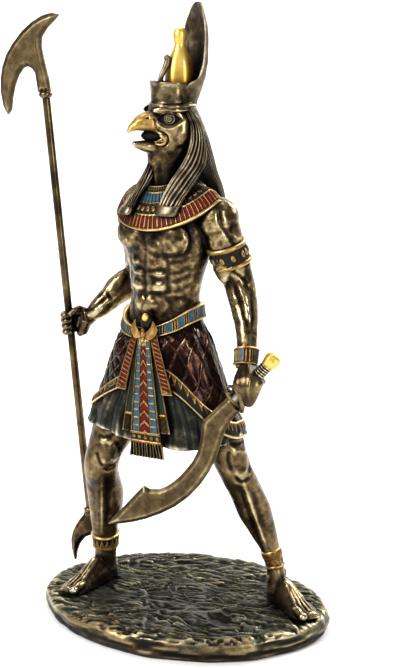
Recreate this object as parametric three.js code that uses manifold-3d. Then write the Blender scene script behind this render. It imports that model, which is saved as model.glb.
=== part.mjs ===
// Statuette of the falcon-headed Horus with a crescent staff and a sickle sword, on a slab of rock.
// Millimetres, +Z up. The origin is the middle of the rock's underside and the figure faces -Y.
// Side means the figure's own left, back means away from its front, and heights count from its soles.

import * as THREE from 'three';
import { mergeVertices } from 'three/addons/utils/BufferGeometryUtils.js';
import Module from 'manifold-3d';

const wasm = await Module();
wasm.setup();

// Driving dimensions
const figureHeight = 289;
const rockLength = 149;
const rockWidth = 112;
const rockThickness = 11;
const rockRelief = 1.1;
const standingGap = 0.3;
const fitClearance = 0.3;
const staffDiameter = 3.7;
const staffCollarDiameter = 6.2;
const staffBladeThickness = 4.4;
const staffLength = 283;
const forkSpread = 25;
const gripDiameter = 5.2;
const pommelDiameter = 7.6;
const swordThickness = 3.2;
const swordEdgeThickness = 1;
const guardThickness = 3.2;
const ornamentRaise = 1.1;
const clothThickness = 1.2;

// The pose and its proportions were drawn on a figure of this height and grow with it
const drawnHeight = 289;
const grow = figureHeight / drawnHeight;
const soleHeight = rockThickness + standingGap;

const turnFull = Math.PI * 2;
const radians = THREE.MathUtils.degToRad;

// Materials

const agedBronze = new THREE.MeshStandardMaterial({ color: 0x6b5a3c, roughness: 0.38, metalness: 0.85 });
const wornBronze = new THREE.MeshStandardMaterial({ color: 0x84704c, roughness: 0.34, metalness: 0.9 });
const greenedRock = new THREE.MeshStandardMaterial({ color: 0x454a3c, roughness: 0.62, metalness: 0.35 });

// Curves and frames

// A smooth curve through evenly spaced values, read at a share of its whole run.
function through(values, share) {
  const last = values.length - 1;
  const step = Math.min(Math.floor(share * last), last - 1);
  const u = share * last - step;
  const a = values[Math.max(step - 1, 0)];
  const b = values[step];
  const c = values[step + 1];
  const d = values[Math.min(step + 2, last)];
  return 0.5 * (2 * b + (c - a) * u + (2 * a - 5 * b + 4 * c - d) * u * u + (3 * b - a - 3 * c + d) * u ** 3);
}

function rowThrough(rows, share) {
  return rows[0].map((_, column) => through(rows.map((row) => row[column]), share));
}

// An upright frame turned to the figure's right: it places side, back and height.
function frameAt(x, y, turn) {
  const cos = Math.cos(radians(turn));
  const sin = Math.sin(radians(turn));
  return (side, back, height) => new THREE.Vector3(x + side * cos + back * sin, y - side * sin + back * cos, height);
}

const pelvis = frameAt(-9.3, -3.6, 10);
const waist = frameAt(-8.9, -3.2, 15);
const chest = frameAt(-7.7, -2.8, 20);
const head = frameAt(-6, -1, 45);

// Solids

function solidOf(geometry) {
  const loose = geometry.index ? geometry.toNonIndexed() : geometry;
  const bare = new THREE.BufferGeometry().setAttribute('position', loose.getAttribute('position'));
  const merged = mergeVertices(bare, 1e-4);
  const vertProperties = merged.attributes.position.array;
  const triVerts = new Uint32Array(merged.index.array);
  return new wasm.Manifold(new wasm.Mesh({ numProp: 3, vertProperties, triVerts }));
}

function joined(solids) {
  return solids.reduce((whole, solid) => whole.add(solid));
}

function meshOf(name, solid, material) {
  const { vertProperties, triVerts } = solid.getMesh();
  const geometry = new THREE.BufferGeometry();
  geometry.setAttribute('position', new THREE.BufferAttribute(vertProperties, 3));
  geometry.setIndex(new THREE.BufferAttribute(triVerts, 1));
  geometry.computeVertexNormals();
  const mesh = new THREE.Mesh(geometry, material);
  mesh.name = name;
  return mesh;
}

// A closed skin over rings of points. Each ring runs anticlockwise about the way from first ring to last.
function skin(rings) {
  const around = rings[0].length;
  const points = rings.flat();
  const middle = (ring) => ring.reduce((sum, p) => sum.add(p), new THREE.Vector3()).divideScalar(around);
  points.push(middle(rings[0]), middle(rings[rings.length - 1]));
  const index = [];
  for (let i = 0; i + 1 < rings.length; i++) {
    for (let j = 0; j < around; j++) {
      const next = (j + 1) % around;
      const [a, b] = [i * around + j, i * around + next];
      const [c, d] = [b + around, a + around];
      index.push(a, b, c, a, c, d);
    }
  }
  const top = (rings.length - 1) * around;
  for (let j = 0; j < around; j++) {
    const next = (j + 1) % around;
    index.push(points.length - 2, next, j, points.length - 1, top + j, top + next);
  }
  const position = new Float32Array(points.flatMap((p) => [p.x, p.y, p.z]));
  const geometry = new THREE.BufferGeometry();
  geometry.setAttribute('position', new THREE.BufferAttribute(position, 3));
  geometry.setIndex(index);
  return solidOf(geometry);
}

// A point of an oval with its own half width to the left and right and its own depth to the front and back.
function ovalPoint(angle, left, right, front, back) {
  const across = Math.cos(angle);
  const along = Math.sin(angle);
  return [across * (across > 0 ? left : right), along * (along > 0 ? back : front)];
}

// The ring of a limb at a share of its run. Rows hold x, y, height, left, right, front, back and turn.
function limbRing(rows, share, sides, extra, upright) {
  const [x, y, z, left, right, front, back, turn] = rowThrough(rows, share);
  const near = rowThrough(rows, Math.max(share - 0.01, 0));
  const far = rowThrough(rows, Math.min(share + 0.01, 1));
  const axis = upright ? new THREE.Vector3(0, 0, 1) : new THREE.Vector3(far[0] - near[0], far[1] - near[1], far[2] - near[2]);
  axis.normalize();
  const behind = new THREE.Vector3(Math.sin(radians(turn)), Math.cos(radians(turn)), 0);
  behind.addScaledVector(axis, -behind.dot(axis)).normalize();
  const leftward = new THREE.Vector3().crossVectors(behind, axis);
  const ring = [];
  for (let j = 0; j < sides; j++) {
    const reach = [left, right, front, back].map((size) => size + extra);
    const [side, depth] = ovalPoint((turnFull * j) / sides, ...reach);
    ring.push(new THREE.Vector3(x, y, z).addScaledVector(leftward, side).addScaledVector(behind, depth));
  }
  return ring;
}

function limb(rows, { sides = 10, steps = rows.length - 1, from = 0, to = 1, extra = 0, upright = false } = {}) {
  const rings = [];
  for (let i = 0; i <= steps; i++) {
    rings.push(limbRing(rows, from + ((to - from) * i) / steps, sides, extra, upright));
  }
  return skin(rings);
}

// An egg from one end to the other, wide and deep across, its back turned like the figure's at that turn.
function egg(from, to, wide, deep, turn = 15, around = 8, rise = 5) {
  const long = from.distanceTo(to) / 2;
  const axis = new THREE.Vector3().subVectors(to, from).normalize();
  const behind = new THREE.Vector3(Math.sin(radians(turn)), Math.cos(radians(turn)), 0);
  behind.addScaledVector(axis, -behind.dot(axis)).normalize();
  const leftward = new THREE.Vector3().crossVectors(behind, axis);
  const geometry = new THREE.SphereGeometry(1, around, rise);
  geometry.rotateX(Math.PI / 2);
  geometry.applyMatrix4(new THREE.Matrix4().makeBasis(
    leftward.multiplyScalar(wide),
    behind.multiplyScalar(deep),
    axis.multiplyScalar(long),
  ));
  const middle = new THREE.Vector3().addVectors(from, to).multiplyScalar(0.5);
  geometry.translate(middle.x, middle.y, middle.z);
  return solidOf(geometry);
}

// The same egg given by its middle and its half sizes in a frame.
function bulge(place, turn, side, back, height, wide, deep, tall, around, rise) {
  return egg(place(side, back, height - tall), place(side, back, height + tall), wide, deep, turn, around, rise);
}

const bothSides = [1, -1];

// Legs and feet

const rightLeg = [
  [-46.0, 5.0, 5, 5.4, 5.4, 6.0, 6.2, 20],
  [-46.0, 4.5, 11, 5.2, 5.2, 5.4, 6.0, 20],
  [-45.3, 3.4, 19, 5.5, 5.5, 5.6, 6.5, 20],
  [-44.8, 2.2, 28, 6.5, 6.4, 6.4, 7.8, 20],
  [-44.2, 0.9, 38, 8.3, 8.0, 7.3, 9.8, 20],
  [-43.7, -0.6, 47, 9.2, 8.9, 8.0, 10.5, 20],
  [-43.2, -3.4, 56, 8.7, 8.6, 8.2, 8.8, 20],
  [-41.9, -7.0, 65, 8.5, 8.5, 9.1, 7.8, 20],
  [-39.0, -8.6, 74, 8.8, 9.0, 8.9, 8.9, 18],
  [-34.8, -7.5, 84, 10.4, 10.9, 10.4, 11.3, 14],
  [-28.8, -5.2, 98, 12.8, 12.8, 12.6, 13.8, 12],
  [-21.0, -1.5, 117, 13.5, 13.0, 12.5, 14.5, 10],
];

const leftLeg = [
  [45.8, 6.2, 5, 4.8, 4.8, 5.6, 6.0, -44],
  [45.6, 6.3, 11, 4.5, 4.5, 4.9, 5.4, -42],
  [44.2, 6.8, 18.5, 4.6, 4.6, 4.9, 5.6, -38],
  [41.6, 6.9, 27, 5.2, 5.2, 5.6, 6.6, -35],
  [38.2, 5.8, 36.5, 6.6, 6.6, 6.8, 8.3, -32],
  [34.8, 3.2, 46.5, 8.1, 8.2, 7.7, 9.8, -30],
  [31.4, -0.1, 57, 7.9, 8.1, 8.0, 9.2, -28],
  [27.6, -4.6, 68, 8.1, 8.2, 8.8, 7.9, -25],
  [24.8, -7.0, 77, 8.8, 8.8, 8.9, 8.8, -18],
  [20.6, -7.6, 88, 10.2, 10.2, 10.0, 11.0, -8],
  [13.2, -7.5, 100, 12.2, 12.2, 12.2, 13.2, 2],
  [1.0, -6.5, 120, 13.5, 13.5, 12.5, 14.5, 10],
];

// Rows hold the way forward from the heel, the half width and the height of the instep.
const footProfile = [
  [0, 3.2, 5.5],
  [3, 4.6, 10],
  [9, 5.0, 13.5],
  [15, 5.2, 12.2],
  [21, 5.9, 8.6],
  [27, 6.6, 6.0],
  [32, 6.4, 4.4],
  [35, 5.2, 3.2],
];

function foot(place, turn, inner) {
  const sides = 8;
  const rings = footProfile.map(([forward, half, instep]) => {
    const ring = [];
    for (let j = 0; j < sides; j++) {
      const angle = (turnFull * (j + 0.5)) / sides;
      const rise = Math.sin(angle);
      ring.push(place(half * Math.cos(angle) - inner * 0.06 * forward, -forward, rise > 0 ? instep * rise : 0));
    }
    return ring;
  });
  const toes = [0, 1, 2, 3, 4].map((toe) => {
    const big = toe === 0;
    const side = inner * (big ? 4.0 : 1.6 - 2.35 * (toe - 1)) - inner * 2.1;
    const tip = big ? 38.2 : 38 - 1.5 * toe;
    const thick = big ? 2.3 : 1.6 - 0.08 * toe;
    return egg(place(side, -tip + 10, thick), place(side, -tip, thick), thick, thick * 1.1, turn + 90, 5, 4);
  });
  return joined([skin(rings), ...toes]);
}

const feet = [
  foot(frameAt(-43.8, 11.2, 15.5), 15.5, 1),
  foot(frameAt(41.2, 11.6, -46), -46, -1),
];

const legMuscles = [
  egg(new THREE.Vector3(-44.6, -9.0, 58), new THREE.Vector3(-42.4, -12.1, 71), 4.6, 4.4, 20),
  egg(new THREE.Vector3(29.6, -4.6, 61), new THREE.Vector3(26.6, -11.1, 74.5), 4.4, 4.4, -25),
];

// Torso

const torsoRows = [
  [-9.8, -3.5, 106, 19.0, 19.0, 12.0, 14.0, 10],
  [-9.8, -3.5, 118, 21.5, 21.5, 14.2, 17.0, 10],
  [-9.6, -3.4, 130, 20.6, 20.6, 14.2, 15.4, 11],
  [-9.4, -3.3, 141, 19.0, 19.0, 13.4, 12.8, 13],
  [-9.0, -3.2, 152, 18.4, 18.0, 13.2, 12.0, 15],
  [-8.5, -3.1, 163, 20.2, 19.4, 14.4, 13.6, 18],
  [-8.0, -2.9, 173, 23.0, 22.0, 15.8, 15.8, 20],
  [-7.7, -2.4, 183, 25.0, 24.0, 16.4, 17.0, 20],
  [-7.6, -1.4, 192, 24.0, 23.6, 14.0, 15.8, 20],
  [-7.9, 0.0, 200, 17.0, 17.0, 9.6, 12.0, 20],
  [-8.1, 1.3, 207, 10.0, 10.0, 8.0, 9.6, 25],
];

const abdomenRows = [0, 1, 2];
const torsoMuscles = bothSides.flatMap((side) => [
  bulge(chest, 20, side * 10.4, -10.6, 182.2, 11.6, 5.8, 9.4, 12, 6),
  ...abdomenRows.map((row) => bulge(waist, 15, side * 5.0, -11.9 + row * 0.5, 171.2 - 9.3 * row, 5.2, 2.9, 5.0, 8, 4)),
  egg(chest(side * 4, 4, 209), chest(side * 22, 3, 197), 6.0, 6.0, 20, 8, 4),
]);

// Arms and hands

const leftArm = [
  [37.6, -21.9, 124.5, 4.6, 4.6, 4.2, 3.2, 15],
  [37.2, -18.9, 130.3, 4.7, 4.7, 4.3, 4.3, 15],
  [36.0, -14.9, 137.0, 5.1, 5.0, 4.7, 4.7, 15],
  [33.6, -9.6, 145.0, 6.2, 5.8, 5.7, 5.8, 15],
  [30.5, -5.6, 153.0, 7.4, 6.6, 6.7, 7.0, 15],
  [27.7, -3.6, 161.0, 7.8, 7.0, 7.0, 7.6, 15],
  [25.2, -4.2, 168.5, 8.6, 7.6, 8.2, 8.6, 15],
  [22.8, -6.0, 177.0, 8.6, 7.8, 8.8, 9.0, 15],
  [20.9, -8.0, 186.0, 8.8, 8.1, 9.0, 9.0, 15],
  [18.8, -8.6, 196.0, 8.0, 8.0, 8.6, 8.4, 15],
];

const rightUpperArm = [
  [-41.6, 33.4, 149.5, 5.2, 5.2, 5.2, 5.6, 20],
  [-40.4, 31.8, 155.5, 6.9, 6.7, 6.8, 7.2, 20],
  [-38.2, 27.6, 163.0, 7.6, 7.2, 7.7, 8.0, 20],
  [-35.4, 21.2, 172.5, 8.3, 8.1, 8.7, 8.9, 20],
  [-32.3, 15.0, 182.0, 8.5, 8.5, 8.9, 8.9, 20],
  [-29.0, 9.2, 191.0, 9.0, 9.0, 9.0, 9.0, 20],
];

const rightForearm = [
  [-64.5, 21.0, 130.0, 5.0, 5.0, 5.0, 5.0, 20],
  [-60.5, 21.6, 132.8, 4.6, 4.6, 4.4, 4.4, 20],
  [-55.4, 23.6, 137.4, 5.2, 5.2, 5.0, 5.0, 20],
  [-50.0, 27.0, 142.8, 6.4, 6.4, 6.0, 6.0, 20],
  [-45.0, 30.2, 148.0, 6.9, 6.9, 6.5, 6.5, 20],
  [-40.2, 33.0, 153.4, 5.8, 5.8, 5.8, 5.8, 20],
];

const armMuscles = [
  bulge(frameAt(19.2, -8.4, 20), 20, 0, 0, 193.0, 10.0, 10.2, 11.8, 10, 6),
  bulge(frameAt(-27.4, 6.9, 20), 20, 0, 0, 190.4, 9.2, 10.0, 11.8, 10, 6),
  egg(new THREE.Vector3(23.4, -10.8, 161), new THREE.Vector3(20.6, -12.6, 185), 5.4, 5.0, 15, 8, 5),
  egg(new THREE.Vector3(35.4, -10.4, 141), new THREE.Vector3(31.2, -5.8, 163), 4.4, 4.2, 15, 8, 4),
  egg(new THREE.Vector3(-54.5, 22.6, 139.2), new THREE.Vector3(-41.4, 30.0, 157), 4.6, 4.4, 20, 8, 4),
];

// What each fist closes on: a point of the axis, the way along it, and the way from it to the palm.
const staffHold = {
  at: new THREE.Vector3(-70.9, 21, 128.8),
  along: new THREE.Vector3(-0.0925, 0, 1).normalize(),
  palm: new THREE.Vector3(0.9, 0.3, 0),
};
const swordHold = {
  at: new THREE.Vector3(40.9, -25.6, 118.2),
  along: new THREE.Vector3(0.655, 0.057, 0.753).normalize(),
  palm: new THREE.Vector3(-0.3, -0.9, 0.3),
};

// Four fingers side by side, swept around what the fist holds between two angles from the palm.
function fist({ at, along, palm }, reach, pitch, thick, from, to) {
  const toPalm = palm.clone().addScaledVector(along, -palm.dot(along)).normalize();
  const across = new THREE.Vector3().crossVectors(along, toPalm);
  const section = [[-1, -1.3], [-1, 1.3], [0, 1.95]];
  for (const slot of [1.5, 0.5, -0.5, -1.5]) {
    section.push([1, slot]);
    if (slot > -1.5) section.push([0.4, slot - 0.5]);
  }
  section.push([0, -1.95]);
  const steps = 6;
  const rings = [];
  for (let i = 0; i <= steps; i++) {
    const angle = radians(from + ((to - from) * i) / steps);
    const out = toPalm.clone().multiplyScalar(Math.cos(angle)).addScaledVector(across, Math.sin(angle));
    const middle = at.clone().addScaledVector(out, reach);
    const size = thick * (i === 0 || i === steps ? 0.75 : 1);
    const ring = section.map(([rise, slot]) => (
      middle.clone().addScaledVector(out, rise * size).addScaledVector(along, slot * pitch)
    ));
    rings.push(from < to ? ring : ring.reverse());
  }
  return skin(rings);
}

const hands = [
  fist(staffHold, 4.3, 3.45, 2.05, 40, 300),
  egg(new THREE.Vector3(-65.6, 21.6, 122.4), new THREE.Vector3(-64.6, 20.4, 137.0), 5.6, 5.0, 20),
  egg(new THREE.Vector3(-62.6, 17.4, 130.5), new THREE.Vector3(-69.6, 15.6, 137.6), 2.4, 2.4, 20, 6, 4),
  egg(new THREE.Vector3(-67.6, 15.6, 137.0), new THREE.Vector3(-75.2, 17.6, 137.2), 2.1, 2.1, 20, 6, 4),
  fist(swordHold, 5.2, 3.75, 2.2, 25, -170),
  egg(new THREE.Vector3(37.2, -23.4, 131.5), new THREE.Vector3(42.8, -30.8, 108.5), 6.8, 3.9, 5, 10, 6),
];

// Falcon head

const neckAndSkull = [
  [0, 0, 198, 10.0, 10.0, 10.0, 10.0],
  [0, 0, 207, 8.8, 8.8, 9.6, 10.0],
  [0, 0.2, 215, 8.8, 8.8, 10.2, 10.0],
  [0, 0, 223, 10.0, 10.0, 11.6, 10.2],
  [0, 0, 231, 10.8, 10.8, 11.2, 10.8],
  [0, 0, 238, 10.4, 10.4, 11.4, 10.6],
  [0, 0, 243, 8.8, 8.8, 8.8, 9.0],
];

function headRows(local) {
  return local.map(([side, back, height, ...sizes]) => {
    const turn = sizes.length > 4 ? sizes.pop() : 45;
    const at = head(side, back, height);
    return [at.x, at.y, at.z, ...sizes, turn];
  });
}

// Rows hold the way forward, the half width, the lower height and the upper height.
const upperBeak = [
  [6, 7.2, 229.8, 240.2],
  [10.5, 6.4, 230.4, 239.8],
  [14, 5.1, 231.3, 239.4],
  [17.2, 3.9, 231.8, 238.3],
  [20, 2.7, 231.7, 236.2],
  [22, 1.6, 230.4, 233.8],
  [22.9, 0.7, 229.4, 231.2],
];
const lowerBeak = [
  [4, 6.6, 220.5, 228.4],
  [9, 5.7, 221.2, 227.4],
  [13, 4.2, 222.9, 227.0],
  [17, 2.6, 224.4, 226.9],
  [19.8, 0.9, 225.2, 226.3],
];
const mouthGap = [
  [8.2, 3.0, 228.2, 229.6],
  [10, 8.0, 227.5, 230.3],
  [15, 8.0, 227.1, 231.4],
  [22, 8.0, 226.6, 231.6],
];

function forwardLoft(profile, sides = 8) {
  return skin(profile.map(([forward, half, low, high]) => {
    const ring = [];
    for (let j = 0; j < sides; j++) {
      const angle = (turnFull * j) / sides;
      ring.push(head(half * Math.cos(angle), -forward, (low + high) / 2 + ((high - low) / 2) * Math.sin(angle)));
    }
    return ring;
  }));
}

const faceParts = bothSides.flatMap((side) => [
  egg(head(side * 5.4, -13.6, 240.6), head(side * 10.6, -1.5, 239.8), 2.0, 1.5, 45, 6, 5),
  egg(head(side * 9.2, -1.6, 237), head(side * 8.8, -9.4, 236.6), 1.9, 2.6, 45, 6, 5),
]);

// Striped headcloth: hood, the fall down the back, and a lappet over each breast

const hoodRows = [
  [0, 12.4, 189, 15.5, 15.5, 5.5, 8.4, 25],
  [0, 12.2, 197, 18.5, 18.5, 6.0, 10.4, 30],
  [0, 10.6, 204, 19.0, 19.0, 6.5, 11.2, 37],
  [0, 8.8, 211, 16.4, 16.4, 7.0, 11.4, 43],
  [0, 6.8, 219, 14.4, 14.4, 7.5, 11.4, 45],
  [0, 4.6, 227, 13.6, 13.6, 7.5, 11.2, 45],
  [0, 2.8, 235, 12.8, 12.8, 6.8, 10.4, 45],
  [0, 1.2, 243, 11.0, 11.0, 6.0, 9.4, 45],
];

const nearLappet = [
  [0.4, -21.4, 193.5, 4.8, 4.8, 2.2, 2.4, 8],
  [2.0, -19.6, 201, 5.2, 5.2, 2.0, 3.0, 2],
  [4.4, -15.8, 209, 5.6, 5.6, 2.0, 3.6, -12],
  [5.8, -11.6, 217, 5.2, 5.2, 2.2, 4.2, -28],
  [5.6, -8.6, 225, 4.4, 4.4, 2.4, 4.6, -42],
  [3.6, -6.6, 233, 3.4, 3.4, 2.2, 4.6, -45],
  [1.4, -5.4, 240, 2.6, 2.6, 2.0, 4.0, -45],
];

const farLappet = [
  [-24.2, -15.4, 192.5, 4.7, 4.7, 2.2, 2.4, 48],
  [-21.4, -13.2, 200, 4.9, 4.9, 2.0, 3.0, 56],
  [-17.0, -9.2, 208, 5.0, 5.0, 2.0, 3.6, 70],
  [-13.8, -4.6, 216, 4.6, 4.6, 2.2, 4.2, 88],
  [-12.6, -0.2, 224, 4.2, 4.2, 2.2, 4.4, 110],
  [-11.6, 2.6, 233, 3.4, 3.4, 2.0, 4.4, 130],
];

const lappets = [nearLappet, farLappet].flatMap((path) => [
  limb(path, { sides: 8, steps: 6, upright: true }),
  limb(path, { sides: 8, steps: 1, from: 0, to: 0.1, extra: 0.7, upright: true }),
]);

// Double crown: flat-rimmed cup, high back plate, gilt bulb and small cobra

const cupRows = [
  [0, 0.2, 239.6, 11.0, 11.0, 11.2, 10.4],
  [0, 0.2, 242.8, 11.2, 11.2, 11.3, 10.9],
  [0, 0, 243.6, 10.4, 10.4, 10.4, 10.2],
  [0, 0, 252.4, 11.0, 11.0, 10.7, 12.4],
];

// Rows hold the height, the way back to the arc's middle, its radius and its half angle in degrees.
const plateRows = [
  [246, 3.2, 10.2, 84],
  [251, 3.9, 10.9, 80],
  [256.5, 3.3, 13.0, 58],
  [263, 2.7, 14.3, 52],
  [271, 2.2, 15.0, 50],
  [278, 1.2, 15.5, 46],
  [284, 2.8, 12.6, 38],
  [287.5, 2.2, 12.0, 22],
  [288.9, 2.0, 12.0, 8],
];

function crownPlate(thickness) {
  const around = 6;
  return skin(plateRows.map(([height, back, radius, half]) => {
    const place = (reach, share) => {
      const angle = radians(half) * (2 * share - 1);
      return head(reach * Math.sin(angle), back + reach * Math.cos(angle), height);
    };
    const outside = Array.from({ length: around + 1 }, (_, j) => place(radius, 1 - j / around));
    const inside = Array.from({ length: around + 1 }, (_, j) => place(radius - thickness, j / around));
    return [...outside, ...inside];
  }));
}

const bulbProfile = [
  [0, 250], [6.9, 250], [6.7, 254], [6.0, 259], [4.8, 264], [3.2, 268], [2.8, 270.5],
  [3.3, 273], [3.3, 275], [2.2, 277.3], [0, 278.2],
];

function gildedBulb() {
  const profile = bulbProfile.map(([radius, height]) => new THREE.Vector2(radius, height));
  const geometry = new THREE.LatheGeometry(profile, 10);
  geometry.rotateX(Math.PI / 2);
  const at = head(0, 4.1, 0);
  geometry.translate(at.x, at.y, 0);
  return solidOf(geometry);
}

const cobra = [
  egg(head(1.0, -5.4, 250.5), head(1.0, -3.4, 262.5), 1.6, 1.4, 45, 6, 4),
  egg(head(1.0, -2.4, 260.5), head(1.0, -4.6, 264.5), 1.3, 1.5, 45, 6, 4),
];

// Broad collar over the chest and shoulders

// Rows hold half width, front, back, then the height at the side, the front and the back.
const collarRows = [
  [29.5, 18.4, 19.0, 196.5, 184.2, 186.0],
  [30.4, 19.6, 20.0, 199.0, 186.6, 188.0],
  [24.5, 17.0, 18.4, 204.6, 193.0, 196.0],
  [16.5, 13.6, 15.0, 206.8, 199.6, 202.5],
  [10.6, 10.8, 12.4, 208.0, 205.4, 207.0],
];

function broadCollar() {
  const sides = 22;
  return skin(collarRows.map(([half, front, back, atSide, atFront, atBack]) => {
    const ring = [];
    for (let j = 0; j < sides; j++) {
      const angle = (turnFull * j) / sides;
      const [side, depth] = ovalPoint(angle, half, half, front, back);
      const share = Math.abs(Math.sin(angle)) ** 1.3;
      const height = atSide + ((Math.sin(angle) > 0 ? atBack : atFront) - atSide) * share;
      ring.push(chest(side, depth, height));
    }
    return ring;
  }));
}

// Kilt: pleated skirt, wrap, belt and apron

// Rows hold the height, the half width, the front and the back.
const kiltRows = [
  [80, 41.2, 23.2, 23.0],
  [90, 39.4, 22.6, 22.8],
  [100, 36.0, 21.6, 22.2],
  [110, 31.8, 20.2, 21.2],
  [120, 28.0, 18.6, 20.0],
  [130, 24.0, 16.8, 18.0],
  [140, 20.6, 15.0, 15.0],
  [150, 19.4, 13.6, 13.0],
];
const pleats = 20;
const pleatDepth = 0.55;

function kiltReach(height) {
  const share = (height - kiltRows[0][0]) / (kiltRows[kiltRows.length - 1][0] - kiltRows[0][0]);
  return rowThrough(kiltRows, Math.min(Math.max(share, 0), 1)).slice(1);
}

function kiltPoint(angle, height, extra, pleat = 0) {
  const [half, front, back] = kiltReach(height);
  const out = extra + pleat * Math.cos(pleats * angle);
  const [side, depth] = ovalPoint(angle, half + out, half + out, front + out, back + out);
  return pelvis(side, depth, height);
}

const hemHeight = (angle) => 84 - 2.4 * Math.cos(angle);
const beltHeight = (angle) => 145.5 + (Math.sin(angle) < 0 ? 6.5 : -2.5) * Math.sin(angle);

function wrapHem(angle) {
  const toSide = Math.cos(angle);
  if (Math.sin(angle) > 0) return toSide > 0 ? 89 : 89 + 12 * Math.abs(toSide);
  return 121 - (toSide > 0 ? 32 : 20) * Math.abs(toSide) ** 0.8;
}

// A closed shell between a lower edge and an upper edge, both heights given for each angle.
function kiltLayer(lower, upper, extra, pleat, sides, steps) {
  const rings = [];
  for (let i = 0; i <= steps; i++) {
    const ring = [];
    for (let j = 0; j < sides; j++) {
      const angle = (turnFull * j) / sides;
      const height = lower(angle) + ((upper(angle) - lower(angle)) * i) / steps;
      ring.push(kiltPoint(angle, height, extra, pleat * (1 - i / steps)));
    }
    rings.push(ring);
  }
  return skin(rings);
}

const kilt = [
  kiltLayer(hemHeight, (angle) => wrapHem(angle) + 6, 0, pleatDepth, pleats * 2, 2),
  kiltLayer(wrapHem, beltHeight, clothThickness, 0, 24, 3),
  kiltLayer((angle) => beltHeight(angle) - 3.4, (angle) => beltHeight(angle) + 3.4, clothThickness + ornamentRaise, 0, 24, 1),
];

// A panel that hangs over the front of the kilt between two slanting sides.
function hangingPanel(top, bottom, [topLeft, topRight], [lowLeft, lowRight], raise) {
  const across = 2;
  const down = 3;
  const rings = [];
  for (let i = 0; i <= down; i++) {
    const height = bottom + ((top - bottom) * i) / down;
    const left = lowLeft + ((topLeft - lowLeft) * i) / down;
    const right = lowRight + ((topRight - lowRight) * i) / down;
    const [half, front] = kiltReach(height);
    const place = (share, extra) => {
      const side = right + (left - right) * share;
      const depth = (front + extra) * Math.sqrt(1 - (side / (half + extra)) ** 2);
      return pelvis(side, -depth, height);
    };
    const ring = [];
    for (let j = 0; j <= across; j++) ring.push(place(j / across, raise));
    for (let j = across; j >= 0; j--) ring.push(place(j / across, -2));
    rings.push(ring);
  }
  return skin(rings);
}

const apron = [
  hangingPanel(138, 79, [3, -3], [7.2, -7.2], clothThickness + 2.6),
  hangingPanel(136, 99, [5.2, 0], [12.4, 0], clothThickness + 1.2),
  hangingPanel(136, 99, [0, -5.2], [0, -12.4], clothThickness + 1.2),
  hangingPanel(137, 113, [5.6, 2.4], [13.4, 8.6], clothThickness + 2.2),
  hangingPanel(137, 113, [-2.4, -5.6], [-8.6, -13.4], clothThickness + 2.2),
];

const buckle = [
  bulge(pelvis, 10, 0, -17.2, 141, 5.6, 3.4, 3.2, 8, 5),
  bulge(pelvis, 10, -0.5, -17.0, 146.2, 2.2, 3.2, 2.4, 6, 4),
];

// Bands on the limbs

const bands = [
  [leftArm, 0.655, 0.765],
  [leftArm, 0.115, 0.225],
  [rightUpperArm, 0.52, 0.68],
  [rightForearm, 0.16, 0.3],
  [rightLeg, 0.12, 0.225],
  [leftLeg, 0.145, 0.275],
].map(([path, from, to]) => limb(path, { sides: 10, steps: 1, from, to, extra: ornamentRaise }));

// The whole casting, grown to its height, with the fists bored for what they hold

const body = joined([
  limb(rightLeg, { steps: 9 }),
  limb(leftLeg, { steps: 9 }),
  ...feet,
  ...legMuscles,
  limb(torsoRows, { sides: 16, steps: 8, upright: true }),
  ...torsoMuscles,
  limb(leftArm, { steps: 8 }),
  limb(rightUpperArm, { steps: 5 }),
  limb(rightForearm, { steps: 5 }),
  ...armMuscles,
  ...hands,
  limb(headRows(neckAndSkull), { sides: 12, steps: 6, upright: true }),
  forwardLoft(upperBeak),
  forwardLoft(lowerBeak),
  ...faceParts,
]).subtract(forwardLoft(mouthGap));

const dressed = joined([
  body,
  limb(headRows(hoodRows), { sides: 12, steps: 6, upright: true }),
  ...lappets,
  limb(headRows(cupRows), { sides: 16, upright: true }),
  crownPlate(1.5),
  gildedBulb(),
  ...cobra,
  broadCollar(),
  ...kilt,
  ...apron,
  ...buckle,
  ...bands,
]);

function grown(solid) {
  const { vertProperties, triVerts } = solid.getMesh();
  const geometry = new THREE.BufferGeometry();
  geometry.setAttribute('position', new THREE.BufferAttribute(vertProperties, 3));
  geometry.setIndex(new THREE.BufferAttribute(triVerts, 1));
  geometry.scale(grow, grow, grow);
  geometry.translate(0, 0, soleHeight);
  return solidOf(geometry);
}

const atReal = (point) => point.clone().multiplyScalar(grow).add(new THREE.Vector3(0, 0, soleHeight));

// A straight rod along an axis, from one distance to another.
function rod(at, along, from, to, diameter, sides) {
  const length = to - from;
  const geometry = new THREE.CylinderGeometry(diameter / 2, diameter / 2, length, sides);
  geometry.rotateX(Math.PI / 2);
  geometry.translate(0, 0, from + length / 2);
  geometry.applyQuaternion(new THREE.Quaternion().setFromUnitVectors(new THREE.Vector3(0, 0, 1), along));
  geometry.translate(at.x, at.y, at.z);
  return solidOf(geometry);
}

const staffAt = atReal(staffHold.at);
const swordAt = atReal(swordHold.at);
const boreReach = 20;
const staffBore = rod(staffAt, staffHold.along, -boreReach, boreReach, staffDiameter + 2 * fitClearance, 10);
const gripBore = rod(swordAt, swordHold.along, -boreReach, boreReach, gripDiameter + 2 * fitClearance, 10);

// Crescent staff

// A flat outline, extruded to a thickness about its own plane, in a frame whose height runs along an axis.
function plateOf(outline, thickness, bevel, place) {
  const shape = new THREE.Shape(outline.map(([across, up]) => new THREE.Vector2(across, up)));
  const geometry = new THREE.ExtrudeGeometry(shape, {
    depth: thickness - 2 * bevel,
    bevelEnabled: bevel > 0,
    bevelThickness: bevel,
    bevelSize: bevel,
    bevelOffset: -bevel,
    bevelSegments: 1,
  });
  geometry.translate(0, 0, bevel - thickness / 2);
  geometry.applyMatrix4(place);
  return solidOf(geometry);
}

const points = (...pairs) => pairs;

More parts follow.
